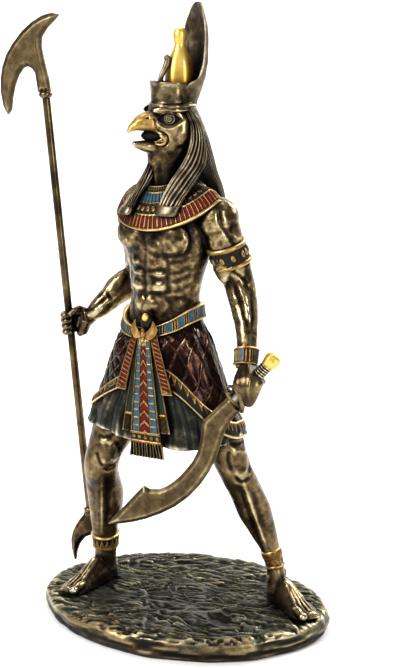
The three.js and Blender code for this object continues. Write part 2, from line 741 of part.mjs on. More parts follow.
const crescentOutline = points(
  [11.9, 40.7], [7.5, 41.8], [2.5, 40.9], [-3.4, 38.3], [-9.5, 34.1], [-15.1, 28.7], [-19.3, 23.5],
  [-23.8, 12.0], [-24.5, 5.6], [-23.9, -1.4], [-21.9, -6.1], [-19.6, -3.6], [-18.2, 2.6], [-13.6, 13.0],
  [-10.7, 16.3], [-8.1, 17.1], [-5.8, 15.9], [-4.3, 13.3], [-3.9, 4.0], [2.9, 3.7], [2.5, 11.2],
  [0.4, 26.3], [1.2, 30.5], [4.6, 34.6], [9.8, 38.5],
);
const forkOutline = points(
  [-2.9, 27], [-3.2, 22], [-7.2, 16.4], [-10.6, 9.2], [-12.4, 3.0], [-12.2, -1.0], [-9.6, 2.6],
  [-6.6, 7.6], [-3.4, 11.2], [0, 12.8], [3.4, 11.2], [6.6, 7.6], [9.6, 2.6], [12.2, -1.0],
  [12.4, 3.0], [10.6, 9.2], [7.2, 16.4], [3.2, 22], [2.9, 27],
);

// The blades lie in the plane that holds the axis and the side.
function alongAxis(at, along, distance) {
  const across = new THREE.Vector3(1, 0, 0).addScaledVector(along, -along.x).normalize();
  const place = new THREE.Matrix4().makeBasis(across, along, new THREE.Vector3().crossVectors(across, along));
  return place.setPosition(at.clone().addScaledVector(along, distance));
}

const forkReach = 12.4;
const forkHeight = 28;
const footDistance = (soleHeight + 1.2 - staffAt.z) / staffHold.along.z;
const forkSize = forkSpread / (2 * forkReach);
const collarDistance = footDistance + staffLength - 42;

function staff() {
  const fork = forkOutline.map(([across, up]) => [across * forkSize, up + 1]);
  return joined([
    rod(staffAt, staffHold.along, footDistance + 20, collarDistance + 6, staffDiameter, 10),
    rod(staffAt, staffHold.along, collarDistance + 1.6, collarDistance + 4.2, staffCollarDiameter + 0.8, 10),
    rod(staffAt, staffHold.along, footDistance + forkHeight - 1, footDistance + forkHeight + 1.4, staffCollarDiameter, 10),
    plateOf(crescentOutline, staffBladeThickness, 1.1, alongAxis(staffAt, staffHold.along, collarDistance)),
    plateOf(fork, staffBladeThickness, 1.1, alongAxis(staffAt, staffHold.along, footDistance)),
  ]);
}

// Sickle sword

// The blade's outline from the fist: the way along the side and the height, in the sword's own plane.
const bladeOutline = points(
  [-8.8, -5.3], [-22.6, -19.7], [-23.6, -29.3], [-25.2, -35.1], [-30.8, -43.7], [-38, -51.5], [-44.6, -55.3],
  [-49.6, -55.9], [-53, -54.7], [-70.6, -74.7], [-72, -76.7], [-65, -75.5], [-56.6, -72.5], [-45.2, -67.3],
  [-38.6, -62.7], [-27.8, -54.1], [-20.6, -45.7], [-16.6, -38.9], [-13.9, -32.5], [-12.8, -25.5], [-9.6, -17.7],
  [-4.6, -13.3],
);

const swordTurn = -5;

function swordPlace() {
  const across = new THREE.Vector3(Math.cos(radians(swordTurn)), -Math.sin(radians(swordTurn)), 0);
  const up = new THREE.Vector3(0, 0, 1);
  const place = new THREE.Matrix4().makeBasis(across, up, new THREE.Vector3().crossVectors(across, up));
  return place.setPosition(swordAt);
}

// The handle is turned about the grip's axis: rows hold the radius and the distance from the fist's middle.
function handle(at, along) {
  const gripRadius = gripDiameter / 2;
  const ribRadius = gripRadius + 0.6;
  const pommelRadius = pommelDiameter / 2;
  const gripEnd = 13.6;
  const profile = [[0, -10.2], [gripRadius, -10.2]];
  for (const rib of [0, 1, 2]) profile.push([gripRadius, 8.8 + rib * 1.6], [ribRadius, 9.4 + rib * 1.6]);
  profile.push([gripRadius, gripEnd], [pommelRadius * 0.8, gripEnd + 1.2], [pommelRadius, gripEnd + 3.4]);
  profile.push([pommelRadius * 0.75, gripEnd + 5.8], [0, gripEnd + 7]);
  const geometry = new THREE.LatheGeometry(profile.map((pair) => new THREE.Vector2(...pair)), 9);
  geometry.applyQuaternion(new THREE.Quaternion().setFromUnitVectors(new THREE.Vector3(0, 1, 0), along));
  geometry.translate(at.x, at.y, at.z);
  return solidOf(geometry);
}

function sword() {
  const bevel = (swordThickness - swordEdgeThickness) / 2;
  const guard = swordAt.clone().addScaledVector(swordHold.along, -10.2);
  const crossways = new THREE.Vector3(-0.74, 0, 0.67);
  return joined([
    plateOf(bladeOutline, swordThickness, bevel, swordPlace()),
    handle(swordAt, swordHold.along),
    egg(guard.clone().addScaledVector(crossways, 9), guard.clone().addScaledVector(crossways, -7),
      guardThickness / 2, guardThickness * 0.9, 0, 8, 5),
  ]);
}

// Rock

const slateRun = (x, y) => 0.5 + 0.25 * Math.sin(y * 0.62 + 1.6 * Math.sin(x * 0.07)) + 0.25 * Math.sin(y * 0.31 - x * 0.11);

// The edge's reach at even steps around, from the figure's left through its back, as a share of the oval.
const rockReach = [0.98, 0.95, 0.92, 0.99, 1.01, 1.02, 1.02, 0.98, 1.01, 1.0, 0.96, 0.95, 0.98, 1.0, 1.02, 0.99];

function rockOutline(angle) {
  const last = rockReach.length;
  const position = (angle / turnFull) * last;
  const step = Math.floor(position);
  const near = [-1, 0, 1, 2].map((offset) => rockReach[(step + offset + last) % last]);
  const [a, b, c, d] = near;
  const u = position - step;
  return b + 0.5 * u * (c - a + u * (2 * a - 5 * b + 4 * c - d + u * (3 * (b - c) + d - a)));
}

function rock() {
  const sides = 32;
  // Rows hold the share of the outline and the height as a share of the thickness, from the edge of the underside up.
  const wall = [[0.965, 0], [1.0, 0.25], [0.995, 0.72], [0.965, 0.97]];
  const top = [0.86, 0.68, 0.5, 0.32, 0.14];
  const ringAt = (share, rise) => {
    const ring = [];
    for (let j = 0; j < sides; j++) {
      const angle = (turnFull * j) / sides;
      const x = (rockLength / 2) * share * rockOutline(angle) * Math.cos(angle);
      const y = (rockWidth / 2) * share * rockOutline(angle) * Math.sin(angle);
      const sunk = rise === null ? rockRelief * slateRun(x, y) : 0;
      const height = rise === null ? rockThickness - sunk : rockThickness * rise;
      ring.push(new THREE.Vector3(x, y, height));
    }
    return ring;
  };
  return skin([...wall.map(([share, rise]) => ringAt(share, rise)), ...top.map((share) => ringAt(share, null))]);
}

const figure = grown(dressed).subtract(staffBore).subtract(gripBore);

const group = new THREE.Group();
group.add(
  meshOf('rocky_base', rock(), greenedRock),
  meshOf('horus_figure', figure, agedBronze),
  meshOf('crescent_staff', staff(), wornBronze),
  meshOf('sickle_sword', sword(), wornBronze),
);

export default group;
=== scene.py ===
import bpy
import numpy as np
from math import cos, radians, sin, tau
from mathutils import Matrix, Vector
from mathutils.bvhtree import BVHTree


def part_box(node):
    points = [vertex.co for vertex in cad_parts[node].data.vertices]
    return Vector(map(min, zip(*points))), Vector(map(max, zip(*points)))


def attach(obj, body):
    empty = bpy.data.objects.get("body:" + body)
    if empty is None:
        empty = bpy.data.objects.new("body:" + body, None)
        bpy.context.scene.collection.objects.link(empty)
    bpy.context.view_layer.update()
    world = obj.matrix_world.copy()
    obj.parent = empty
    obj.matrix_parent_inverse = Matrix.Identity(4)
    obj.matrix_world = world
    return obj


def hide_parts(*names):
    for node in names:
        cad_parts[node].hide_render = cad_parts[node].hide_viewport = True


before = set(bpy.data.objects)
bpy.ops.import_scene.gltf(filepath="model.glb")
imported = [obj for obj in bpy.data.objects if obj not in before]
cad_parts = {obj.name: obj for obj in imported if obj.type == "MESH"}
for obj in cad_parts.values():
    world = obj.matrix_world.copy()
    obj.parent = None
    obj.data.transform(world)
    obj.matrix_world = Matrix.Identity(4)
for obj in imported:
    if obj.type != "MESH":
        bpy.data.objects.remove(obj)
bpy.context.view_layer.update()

# Everything is modelled in millimetres and placed in metres. Heights in the figure's rows count from its soles.
mm = 0.001
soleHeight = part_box("rocky_base")[1].z / mm + 0.3
print("frame loaded, soles at", round(soleHeight, 2), "mm")


# Curves, frames and closed forms

def through(values, share):
    # a smooth curve through evenly spaced values, read at shares of its run
    values = np.asarray(values, float)
    last = len(values) - 1
    place = np.clip(np.asarray(share, float), 0, 1) * last
    step = np.minimum(place.astype(int), last - 1)
    u = place - step
    if values.ndim > 1:
        u = u[..., None]
    a, b = values[np.maximum(step - 1, 0)], values[step]
    c, d = values[step + 1], values[np.minimum(step + 2, last)]
    return 0.5 * (2 * b + (c - a) * u + (2 * a - 5 * b + 4 * c - d) * u**2 + (3 * b - a - 3 * c + d) * u**3)


def roundAngles(count):
    return np.linspace(0, tau, count, endpoint=False)


def smoothStep(values, low, high):
    t = np.clip((values - low) / (high - low), 0, 1)
    return t * t * (3 - 2 * t)


class Upright:
    # an upright frame turned to the figure's right, which places and reads side, back and height

    def __init__(self, x, y, turn):
        self.x, self.y, self.turn = x, y, turn
        self.cos, self.sin = cos(radians(turn)), sin(radians(turn))

    def place(self, side, back, height):
        side, back, height = np.broadcast_arrays(*(np.asarray(v, float) for v in (side, back, height)))
        return np.stack([
            self.x + side * self.cos + back * self.sin,
            self.y - side * self.sin + back * self.cos,
            height + soleHeight,
        ], -1)

    def read(self, points):
        dx, dy = points[:, 0] - self.x, points[:, 1] - self.y
        side = dx * self.cos - dy * self.sin
        back = dx * self.sin + dy * self.cos
        return side, back, points[:, 2] - soleHeight

    def turned(self, directions):
        side = directions[:, 0] * self.cos - directions[:, 1] * self.sin
        back = directions[:, 0] * self.sin + directions[:, 1] * self.cos
        return side, back


pelvis = Upright(-9.3, -3.6, 10)
waist = Upright(-8.9, -3.2, 15)
chest = Upright(-7.7, -2.8, 20)
head = Upright(-6, -1, 45)


def unit(vectors):
    return vectors / np.maximum(np.linalg.norm(vectors, axis=-1, keepdims=True), 1e-9)


def skin(rings):
    # a closed skin over rings of points, each anticlockwise about the way from the first to the last
    count, around = rings.shape[:2]
    index = np.arange(count * around).reshape(count, around)
    onward = np.roll(index, -1, axis=1)
    sides = np.stack([index[:-1], onward[:-1], onward[1:], index[1:]], -1).reshape(-1, 4)
    faces = sides.tolist() + [index[0][::-1].tolist(), index[-1].tolist()]
    return rings.reshape(-1, 3), faces


def limbSkin(rows, angle, share, extra=0, upright=False):
    # points on a limb's skin; rows hold x, y, height, left, right, front, back and turn
    angle, share, extra = np.broadcast_arrays(np.asarray(angle, float), np.asarray(share, float), extra)
    row = through(rows, share)
    axis = np.zeros(share.shape + (3,)) + [0.0, 0.0, 1.0]
    if not upright:
        axis = unit(through(rows, share + 0.01)[..., :3] - through(rows, share - 0.01)[..., :3])
    turn = np.radians(row[..., 7])
    back = np.stack([np.sin(turn), np.cos(turn), np.zeros_like(turn)], -1)
    back = unit(back - (back * axis).sum(-1, keepdims=True) * axis)
    left = np.cross(back, axis)
    across, along = np.cos(angle), np.sin(angle)
    toSide = (np.where(across > 0, row[..., 3], row[..., 4]) + extra) * across
    toBack = (np.where(along > 0, row[..., 6], row[..., 5]) + extra) * along
    centre = row[..., :3] + [0, 0, soleHeight]
    return centre + toSide[..., None] * left + toBack[..., None] * back


def limb(rows, sides=40, steps=60, start=0, stop=1, relief=None, upright=False):
    angle = roundAngles(sides)[None]
    share = np.linspace(start, stop, steps + 1)[:, None]
    extra = relief(angle, share) if relief else 0
    return skin(limbSkin(rows, angle, share, extra, upright))


def egg(start, end, wide, deep, turn=15, lift=soleHeight):
    # an egg between two points given with heights from the soles
    start, end = np.array(start, float) + [0, 0, lift], np.array(end, float) + [0, 0, lift]
    axis = unit(end - start)
    back = np.array([sin(radians(turn)), cos(radians(turn)), 0.0])
    back = unit(back - back.dot(axis) * axis)
    left = np.cross(back, axis)
    rise = np.linspace(-0.985, 0.985, 19) * (tau / 4)
    angle = roundAngles(26)
    ring = np.cos(angle)[:, None] * left * wide + np.sin(angle)[:, None] * back * deep
    middle, half = (start + end) / 2, np.linalg.norm(end - start) / 2
    return skin(middle + np.sin(rise)[:, None, None] * axis * half + np.cos(rise)[:, None, None] * ring)


def bulge(place, side, back, height, wide, deep, tall):
    low, high = place.place(side, back, height - tall), place.place(side, back, height + tall)
    return egg(low, high, wide, deep, place.turn, 0)


def tube(points, radii, sides=20):
    # a round tube through points, closed by its end rings
    points = np.asarray(points, float)
    radii = np.broadcast_to(np.asarray(radii, float), len(points))
    way = unit(np.gradient(points, axis=0))
    start = np.array([0.0, 0.0, 1.0]) if abs(way[0][2]) < 0.8 else np.array([1.0, 0.0, 0.0])
    rings = []
    for point, direction, radius in zip(points, way, radii):
        one = unit(np.cross(direction, start))
        two = np.cross(direction, one)
        start = np.cross(one, direction)
        angle = roundAngles(sides)
        rings.append(point + radius * (np.cos(angle)[:, None] * one + np.sin(angle)[:, None] * two))
    return skin(np.array(rings))


# Meshes

def meshObject(name, points, faces):
    mesh = bpy.data.meshes.new(name)
    mesh.from_pydata((np.asarray(points) * mm).tolist(), [], faces)
    mesh.validate()
    piece = bpy.data.objects.new(name, mesh)
    bpy.context.scene.collection.objects.link(piece)
    return piece


def pointsOf(piece):
    points = np.empty(len(piece.data.vertices) * 3, np.float32)
    piece.data.vertices.foreach_get("co", points)
    return points.reshape(-1, 3).astype(float) / mm


def normalsOf(piece):
    normals = np.empty(len(piece.data.vertices) * 3, np.float32)
    piece.data.vertex_normals.foreach_get("vector", normals)
    return normals.reshape(-1, 3).astype(float)


def movePoints(piece, points):
    piece.data.vertices.foreach_set("co", (points * mm).astype(np.float32).ravel())
    piece.data.update()


def applied(piece):
    # the piece's mesh with its modifiers worked in
    graph = bpy.context.evaluated_depsgraph_get()
    graph.update()
    mesh = bpy.data.meshes.new_from_object(piece.evaluated_get(graph))
    piece.modifiers.clear()
    piece.data = mesh
    return piece


def merged(parts):
    points, faces, count = [], [], 0
    for partPoints, partFaces in parts:
        points.append(partPoints)
        faces += [[corner + count for corner in face] for face in partFaces]
        count += len(partPoints)
    return np.concatenate(points), faces


def fused(name, parts, grain, rounds):
    # overlapping closed forms grown into one skin, with their creases softened
    piece = meshObject(name, *merged(parts))
    remesh = piece.modifiers.new("grow together", "REMESH")
    remesh.mode = "VOXEL"
    remesh.voxel_size = grain * mm
    soften = piece.modifiers.new("soften", "SMOOTH")
    soften.factor = 0.5
    soften.iterations = rounds
    return applied(piece)


def lighten(piece, most):
    # fewer faces where the skin is plain
    triangles = sum(len(face.vertices) - 2 for face in piece.data.polygons)
    if triangles > most:
        thin = piece.modifiers.new("lighten", "DECIMATE")
        thin.ratio = most / triangles
        applied(piece)
    return piece


def viewed(place, look, points, normals):
    # places across and up as seen from an angle about a frame's front, and how far each faces the eye
    side, back, height = place.read(points)
    if look == "above":
        return side, -back, smoothStep(normals[:, 2], 0.1, 0.5)
    normalSide, normalBack = place.turned(normals)
    c, s = cos(radians(look)), sin(radians(look))
    return side * c + back * s, height, smoothStep(normalSide * s - normalBack * c, 0.05, 0.45)


def strokes(piece, place, look, marks):
    # Cuts (depth above 0) and swells (below 0), each drawn as (path across and up, width, depth).
    points, normals = pointsOf(piece), normalsOf(piece)
    across, height, facing = viewed(place, look, points, normals)
    move = np.zeros(len(points))
    for path, width, depth in marks:
        line = through(path, np.linspace(0, 1, 5 * len(path))) if len(path) > 2 else np.array(path, float)
        low, high = line.min(0) - 3 * width, line.max(0) + 3 * width
        near = (across > low[0]) & (across < high[0]) & (height > low[1]) & (height < high[1]) & (facing > 0)
        if not near.any():
            continue
        spot = np.stack([across[near], height[near]], -1)
        best, run = np.full(len(spot), 1e9), np.zeros(len(spot))
        for i in range(len(line) - 1):
            way = line[i + 1] - line[i]
            t = np.clip(((spot - line[i]) @ way) / max(way.dot(way), 1e-9), 0, 1)
            gap = np.linalg.norm(spot - line[i] - t[:, None] * way, axis=1)
            closer = gap < best
            best[closer], run[closer] = gap[closer], (i + t[closer]) / (len(line) - 1)
        taper = np.clip(np.minimum(run, 1 - run) / 0.2, 0, 1) * 0.75 + 0.25
        move[near] -= depth * taper * np.exp(-((best / width) ** 2))
    movePoints(piece, points + normals * (move * facing)[:, None])
    return piece


def mirrored(path, side=-1):
    return [(side * across, height) for across, height in path]


def bothSides(marks):
    # each mark with its mirror image
    return [(way, width, depth) for path, width, depth in marks for way in (path, mirrored(path))]


def reliefMap(piece, reach, rounds=(3, 12)):
    # How far each point stands out of the skin around it: 0 deep in a recess, 1 on a rubbed edge.
    points, normals = pointsOf(piece), normalsOf(piece)
    edges = np.empty(len(piece.data.edges) * 2, np.int32)
    piece.data.edges.foreach_get("vertices", edges)
    one, two = edges.reshape(-1, 2).T
    count = np.maximum(np.bincount(one, minlength=len(points)) + np.bincount(two, minlength=len(points)), 1)
    total, averaged = np.zeros(len(points)), points.copy()
    done = 0
    for goal in rounds:
        while done < goal:
            for axis in range(3):
                summed = np.bincount(one, averaged[two, axis], len(points))
                summed += np.bincount(two, averaged[one, axis], len(points))
                averaged[:, axis] = 0.35 * averaged[:, axis] + 0.65 * summed / count
            done += 1
        total += ((points - averaged) * normals).sum(1) / reach
    share = np.clip(0.5 + 0.5 * total / len(rounds), 0, 1)
    layer = piece.data.attributes.new("relief", "FLOAT", "POINT")
    layer.data.foreach_set("value", share.astype(np.float32))
    return piece


def worked(piece, amount, size, seed):
    # the small unevenness that a hand-modelled surface keeps
    points = pointsOf(piece)
    at = points / size
    movePoints(piece, points + normalsOf(piece) * (amount * layered(at[:, 0], at[:, 1], at[:, 2], seed, 3))[:, None])
    return piece


def shadeSmooth(piece):
    piece.data.polygons.foreach_set("use_smooth", [True] * len(piece.data.polygons))


def standing(piece, slotName="figure", *replaced):
    shadeSmooth(piece)
    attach(piece, "root")
    if replaced:
        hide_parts(*replaced)
    return piece


def dressed(piece, reach, rounds, finish, slotName="figure", most=None):
    # a piece of one finish, given its relief and sometimes the most triangles it may have; its slot name is not used
    reliefMap(piece, reach, rounds)
    piece.data.materials.append(finish)
    if most:
        lighten(piece, most)
    return standing(piece, slotName)


# Inlaid strips: a skin laid on the body, with its pattern in relief and each field in its own finish

def strip(name, surface, size, pattern, finishes, sunk, closed=True):
    # surface(u, v) gives points, and pattern(u, v) the relief in mm and which finish each face gets
    along, across = size
    u = np.linspace(0, 1, along + 1)[:-1] if closed else np.linspace(0, 1, along + 1)
    v = np.linspace(0, 1, across + 1)
    gridU, gridV = np.meshgrid(u, v, indexing="ij")
    e = 1e-3
    points = surface(gridU, gridV)
    runU = surface(gridU + e, gridV) - surface(gridU - e, gridV)
    runV = surface(gridU, gridV + e) - surface(gridU, gridV - e)
    normal = unit(np.cross(runU, runV))
    top = points + normal * pattern(gridU, gridV)[0][..., None]
    kept = np.unique(np.linspace(0, across, 6).astype(int))  # the hidden side needs few columns
    low = (points - normal * sunk)[:, kept]
    index = np.arange(top[..., 0].size).reshape(top.shape[:2])
    below = np.arange(low[..., 0].size).reshape(low.shape[:2]) + index.size
    wrap = np.concatenate([index, index[:1]]) if closed else index
    wrapLow = np.concatenate([below, below[:1]]) if closed else below
    tile = lambda g: np.stack([g[:-1, :-1], g[1:, :-1], g[1:, 1:], g[:-1, 1:]], -1).reshape(-1, 4)
    wall = lambda a, b: np.stack([a[1:], a[:-1], b[:-1], b[1:]], -1)
    quads = tile(wrap)
    rest = np.concatenate([
        tile(wrapLow)[:, ::-1],
        wall(wrap[:, 0], wrapLow[:, 0]),
        wall(wrap[:, -1], wrapLow[:, -1])[:, ::-1],
    ])
    faces = quads.tolist() + rest.tolist()
    if not closed:
        faces += [index[0].tolist() + below[0][::-1].tolist(), index[-1][::-1].tolist() + below[-1].tolist()]
    piece = meshObject(name, np.concatenate([top.reshape(-1, 3), low.reshape(-1, 3)]), faces)
    chosen = pattern(*middles(u, v, closed))[1].reshape(-1)
    index = np.concatenate([chosen, np.zeros(len(faces) - len(quads), int)])
    for finish in finishes:
        piece.data.materials.append(finish)
    piece.data.polygons.foreach_set("material_index", index.astype(np.int32))
    return piece


def middles(u, v, closed):
    middleU = u + (u[1] - u[0]) / 2 if closed else (u[:-1] + u[1:]) / 2
    return np.meshgrid(middleU, (v[:-1] + v[1:]) / 2, indexing="ij")


def oneFinish(relief):
    # a pattern in relief alone
    return lambda u, v: (relief(u, v), np.zeros(u.shape, int))


# Finishes

def linear(hexColour):
    channels = [int(hexColour[i:i + 2], 16) / 255 for i in (1, 3, 5)]
    return [c / 12.92 if c <= 0.04045 else ((c + 0.055) / 1.055) ** 2.4 for c in channels] + [1.0]


def addNode(tree, kind, settings=None, links=None):
    # settings go to the node itself or to its input sockets, links to its input sockets
    node = tree.nodes.new(kind)
    for name, value in (settings or {}).items():
        if isinstance(name, int) or name in node.inputs:
            node.inputs[name].default_value = value
        else:
            setattr(node, name, value)
    for name, source in (links or {}).items():
        tree.links.new(source, node.inputs[name])
    return node


def rampStops(node, stops):
    ramp = node.color_ramp
    while len(ramp.elements) > 1:
        ramp.elements.remove(ramp.elements[-1])
    ramp.elements[0].position, ramp.elements[0].color = stops[0][0], linear(stops[0][1])
    for place, colour in stops[1:]:
        ramp.elements.new(place).color = linear(colour)


castLook = {"mottleSize": 5, "grainSize": 0.8, "speckle": 0.08, "metal": 0.9, "bump": 0.25, "shade": 9}  # sizes in mm


def castFinish(name, look):
    # One finish of the casting: its recesses hold dark wash and its edges are rubbed bright, and painted shade darkens
    # it wherever one form shades another.
    look = {**castLook, **look}
    material = bpy.data.materials.new(name)
    material.use_nodes = True
    tree = material.node_tree
    tree.nodes.clear()
    perMetre = 1 / mm
    place = addNode(tree, "ShaderNodeTexCoord").outputs["Object"]
    relief = addNode(tree, "ShaderNodeAttribute", {"attribute_name": "relief"}).outputs["Fac"]
    mottle = addNode(tree, "ShaderNodeTexNoise",
                     {"Scale": perMetre / look["mottleSize"], "Detail": 4.0, "Roughness": 0.6},
                     {"Vector": place}).outputs["Fac"]
    grain = addNode(tree, "ShaderNodeTexNoise",
                    {"Scale": perMetre / look["grainSize"], "Detail": 3.0, "Roughness": 0.7},
                    {"Vector": place}).outputs["Fac"]
    spread = addNode(tree, "ShaderNodeMapRange",
                     {"To Min": -look["mottle"], "To Max": look["mottle"]}, {"Value": mottle}).outputs[0]
    speckle = addNode(tree, "ShaderNodeMapRange",
                      {"To Min": -look["speckle"], "To Max": look["speckle"]}, {"Value": grain}).outputs[0]
    both = addNode(tree, "ShaderNodeMath", {"operation": "ADD"}, {0: spread, 1: speckle}).outputs[0]
    worn = addNode(tree, "ShaderNodeMath", {"operation": "ADD"}, {0: relief, 1: both}).outputs[0]
    # painted shade: ambient occlusion darkens the colour wherever one form shades another
    exposed = addNode(tree, "ShaderNodeAmbientOcclusion",
                      {"samples": 6, "Distance": look["shade"] * mm}).outputs["AO"]
    paintedShade = addNode(tree, "ShaderNodeMapRange",
                     {"From Min": 0.3, "From Max": 0.95, "To Min": -0.5, "To Max": 0.03}, {"Value": exposed}).outputs[0]
    # the ramp reads wear and painted shade together
    rubbed = addNode(tree, "ShaderNodeMath", {"operation": "ADD", "use_clamp": True}, {0: worn, 1: paintedShade}).outputs[0]
    ramp = addNode(tree, "ShaderNodeValToRGB", None, {"Fac": rubbed})
    rampStops(ramp, look["colours"])
    gloss = addNode(tree, "ShaderNodeMapRange",
                    {"To Min": look["rough"][0], "To Max": look["rough"][1]}, {"Value": rubbed}).outputs[0]
    bump = addNode(tree, "ShaderNodeBump", {"Strength": look["bump"], "Distance": 0.1 * mm},
                   {"Height": grain}).outputs[0]
    shader = addNode(tree, "ShaderNodeBsdfPrincipled", {"Metallic": look["metal"]},
                     {"Base Color": ramp.outputs[0], "Roughness": gloss, "Normal": bump})
    if "gleam" in look:
        shader.inputs["Specular IOR Level"].default_value = look["gleam"]
    if "coat" in look:
        shader.inputs["Coat Weight"].default_value = look["coat"]
        shader.inputs["Coat Roughness"].default_value = 0.12
    addNode(tree, "ShaderNodeOutputMaterial", None, {"Surface": shader.outputs[0]})
    return material


# Bronze powder in resin, washed dark and buffed: near black in the recesses, pale olive gold where it is rubbed.
agedBronze = castFinish("cold-cast bronze, dark wash, buffed", {
    "colours": [(0.0, "#060403"), (0.36, "#160f09"), (0.5, "#37291a"), (0.61, "#665438"), (0.74, "#a39369"),
                (0.9, "#ddd2b6")],
    "mottleSize": 12, "mottle": 0.24, "grainSize": 0.9, "speckle": 0.07, "rough": (0.38, 0.18),
})
# The same casting left darker on the lappets, the cobra and the sword's grip, with finer rubbing.
darkBronze = castFinish("cold-cast bronze, heavy wash", {
    "colours": [(0.0, "#070503"), (0.3, "#1a130c"), (0.46, "#41352a"), (0.6, "#75674f"), (0.78, "#b8ac8e"),
                (0.93, "#e2dac4")],
    "mottle": 0.3, "speckle": 0.06, "rough": (0.46, 0.26),
})
# The sword's blade and the staff's crescent are rubbed evenly: a flat warm tan bronze.
rubbedBronze = castFinish("cold-cast bronze, evenly rubbed", {
    "colours": [(0.0, "#0a0703"), (0.3, "#21180d"), (0.5, "#463824"), (0.65, "#6b5b3e"), (0.86, "#bdae88")],
    "mottleSize": 4.5, "mottle": 0.24, "grainSize": 0.5, "speckle": 0.1, "rough": (0.46, 0.32), "bump": 0.35,
})
# Gold lacquer on the bulb, the sun disk and the pommel: a clear yellow metal with brown in its folds.
brightGold = castFinish("gold lacquer, polished", {
    "colours": [(0.0, "#3a2206"), (0.28, "#8f6416"), (0.44, "#d3a43a"), (0.6, "#ecc867"), (0.85, "#f8e3a0")],
    "mottleSize": 7, "mottle": 0.16, "grainSize": 1.2, "speckle": 0.05,
    "rough": (0.42, 0.3), "metal": 0.72, "bump": 0.12,
})
# Hand-painted gold on the ornaments: brown in every groove and only bright on the ridges.
trimGold = castFinish("gold paint, hand applied", {
    "colours": [(0.0, "#0b0603"), (0.36, "#2e1d09"), (0.54, "#6c4f22"), (0.7, "#aa8444"), (0.9, "#e0c68e")],
    "mottleSize": 3, "mottle": 0.28, "grainSize": 0.5, "speckle": 0.1,
    "rough": (0.5, 0.3), "metal": 0.85, "bump": 0.2,
})
# The beak's gold is dry-brushed over brown, so it is tan and scratched.
beakGold = castFinish("gold paint, dry brushed", {
    "colours": [(0.0, "#171006"), (0.3, "#4a3415"), (0.48, "#8f6c38"), (0.66, "#c09855"), (0.88, "#e3c78c")],
    "mottleSize": 3, "mottle": 0.3, "grainSize": 0.5, "speckle": 0.2, "rough": (0.5, 0.3), "metal": 0.8, "bump": 0.3,
})
# Enamel paint in sunk fields: deep colour with wash at the edges and a thin gloss.
turquoiseEnamel = castFinish("enamel paint, turquoise", {
    "colours": [(0.0, "#04090c"), (0.34, "#0a242f"), (0.52, "#15465a"), (0.68, "#2f7086"), (0.88, "#8fbcc0")],
    "mottleSize": 2.5, "mottle": 0.2, "grainSize": 0.6, "speckle": 0.12,
    "rough": (0.5, 0.36), "metal": 0.0, "bump": 0.2, "gleam": 0.25,
})
redEnamel = castFinish("enamel paint, oxblood", {
    "colours": [(0.0, "#090201"), (0.34, "#2c0403"), (0.52, "#540904"), (0.7, "#82170a"), (0.9, "#ab4526")],
    "mottleSize": 2.5, "mottle": 0.18, "grainSize": 0.6,
    "rough": (0.6, 0.45), "metal": 0.0, "bump": 0.2, "gleam": 0.12,
})
blackEnamel = castFinish("enamel paint, black green", {
    "colours": [(0.0, "#040403"), (0.5, "#0d0e0a"), (0.72, "#1c1d16"), (0.94, "#5d5745")],
    "mottleSize": 2, "mottle": 0.12, "grainSize": 0.5, "speckle": 0.14,
    "rough": (0.55, 0.4), "metal": 0.2, "gleam": 0.2,
})
# The wrap of the kilt: a purple brown glaze over the bronze, so its ridges flash pink brown.
plumBronze = castFinish("cold-cast bronze, plum glaze", {
    "colours": [(0.0, "#050302"), (0.36, "#120807"), (0.53, "#2b1510"), (0.67, "#4f3426"), (0.81, "#968468"),
                (0.93, "#e0d5bd")],
    "mottleSize": 6, "mottle": 0.44, "rough": (0.34, 0.16), "metal": 0.88, "bump": 0.2,
})
# The pleated skirt: a grey green glaze, pale on the crests of the folds.
greenBronze = castFinish("cold-cast bronze, grey-green glaze", {
    "colours": [(0.0, "#050504"), (0.38, "#0e0f0b"), (0.54, "#22221b"), (0.67, "#4a4536"), (0.8, "#988f74"),
                (0.92, "#d2c9b0")],
    "mottle": 0.42, "rough": (0.5, 0.32), "metal": 0.78,
})
# Slate cast in the same resin: green-black with ridges dry-brushed in bronze.
castSlate = castFinish("cold-cast slate, green-black wash", {
    "colours": [(0.0, "#040402"), (0.34, "#0e0f09"), (0.53, "#212217"), (0.66, "#42402c"), (0.81, "#7b7254"),
                (0.95, "#bdb08b")],
    "mottleSize": 12, "mottle": 0.34, "grainSize": 1.1, "speckle": 0.16,
    "rough": (0.5, 0.3), "metal": 0.72, "bump": 0.5,
})
print("finishes mixed")


# Rock

rockLook = {
    "length": 149, "width": 112, "thickness": 11, "around": 420,
    "reach": [0.978, 0.947, 0.932, 0.994, 1.013, 1.02, 1.004, 0.993, 1.005, 0.978, 0.954, 0.97, 0.994, 1.016, 0.995,
              0.981],
    "grainAcross": 4.2, "grainAlong": 14,  # mm between the ledges of the slate, across and along its run
    "seed": 4,
}


def chance(x, y, z=0.0, seed=0):
    # smooth noise from -1 to 1 at arrays of places
    flat = np.broadcast_arrays(np.asarray(x, float), np.asarray(y, float), np.asarray(z, float))
    shape = flat[0].shape
    table = np.random.default_rng(seed).uniform(-1, 1, 4096)
    whole = [np.floor(a).astype(np.int64).ravel() for a in flat]
    part = [(a.ravel() - w) for a, w in zip(flat, whole)]
    ease = [p * p * (3 - 2 * p) for p in part]
    total = np.zeros(whole[0].shape)
    for i in (0, 1):
        for j in (0, 1):
            for k in (0, 1):
                key = (whole[0] + i) * 73856093 ^ (whole[1] + j) * 19349663 ^ (whole[2] + k) * 83492791
                weight = (ease[0] if i else 1 - ease[0]) * (ease[1] if j else 1 - ease[1])
                total += table[key % 4096] * weight * (ease[2] if k else 1 - ease[2])
    return total.reshape(shape)


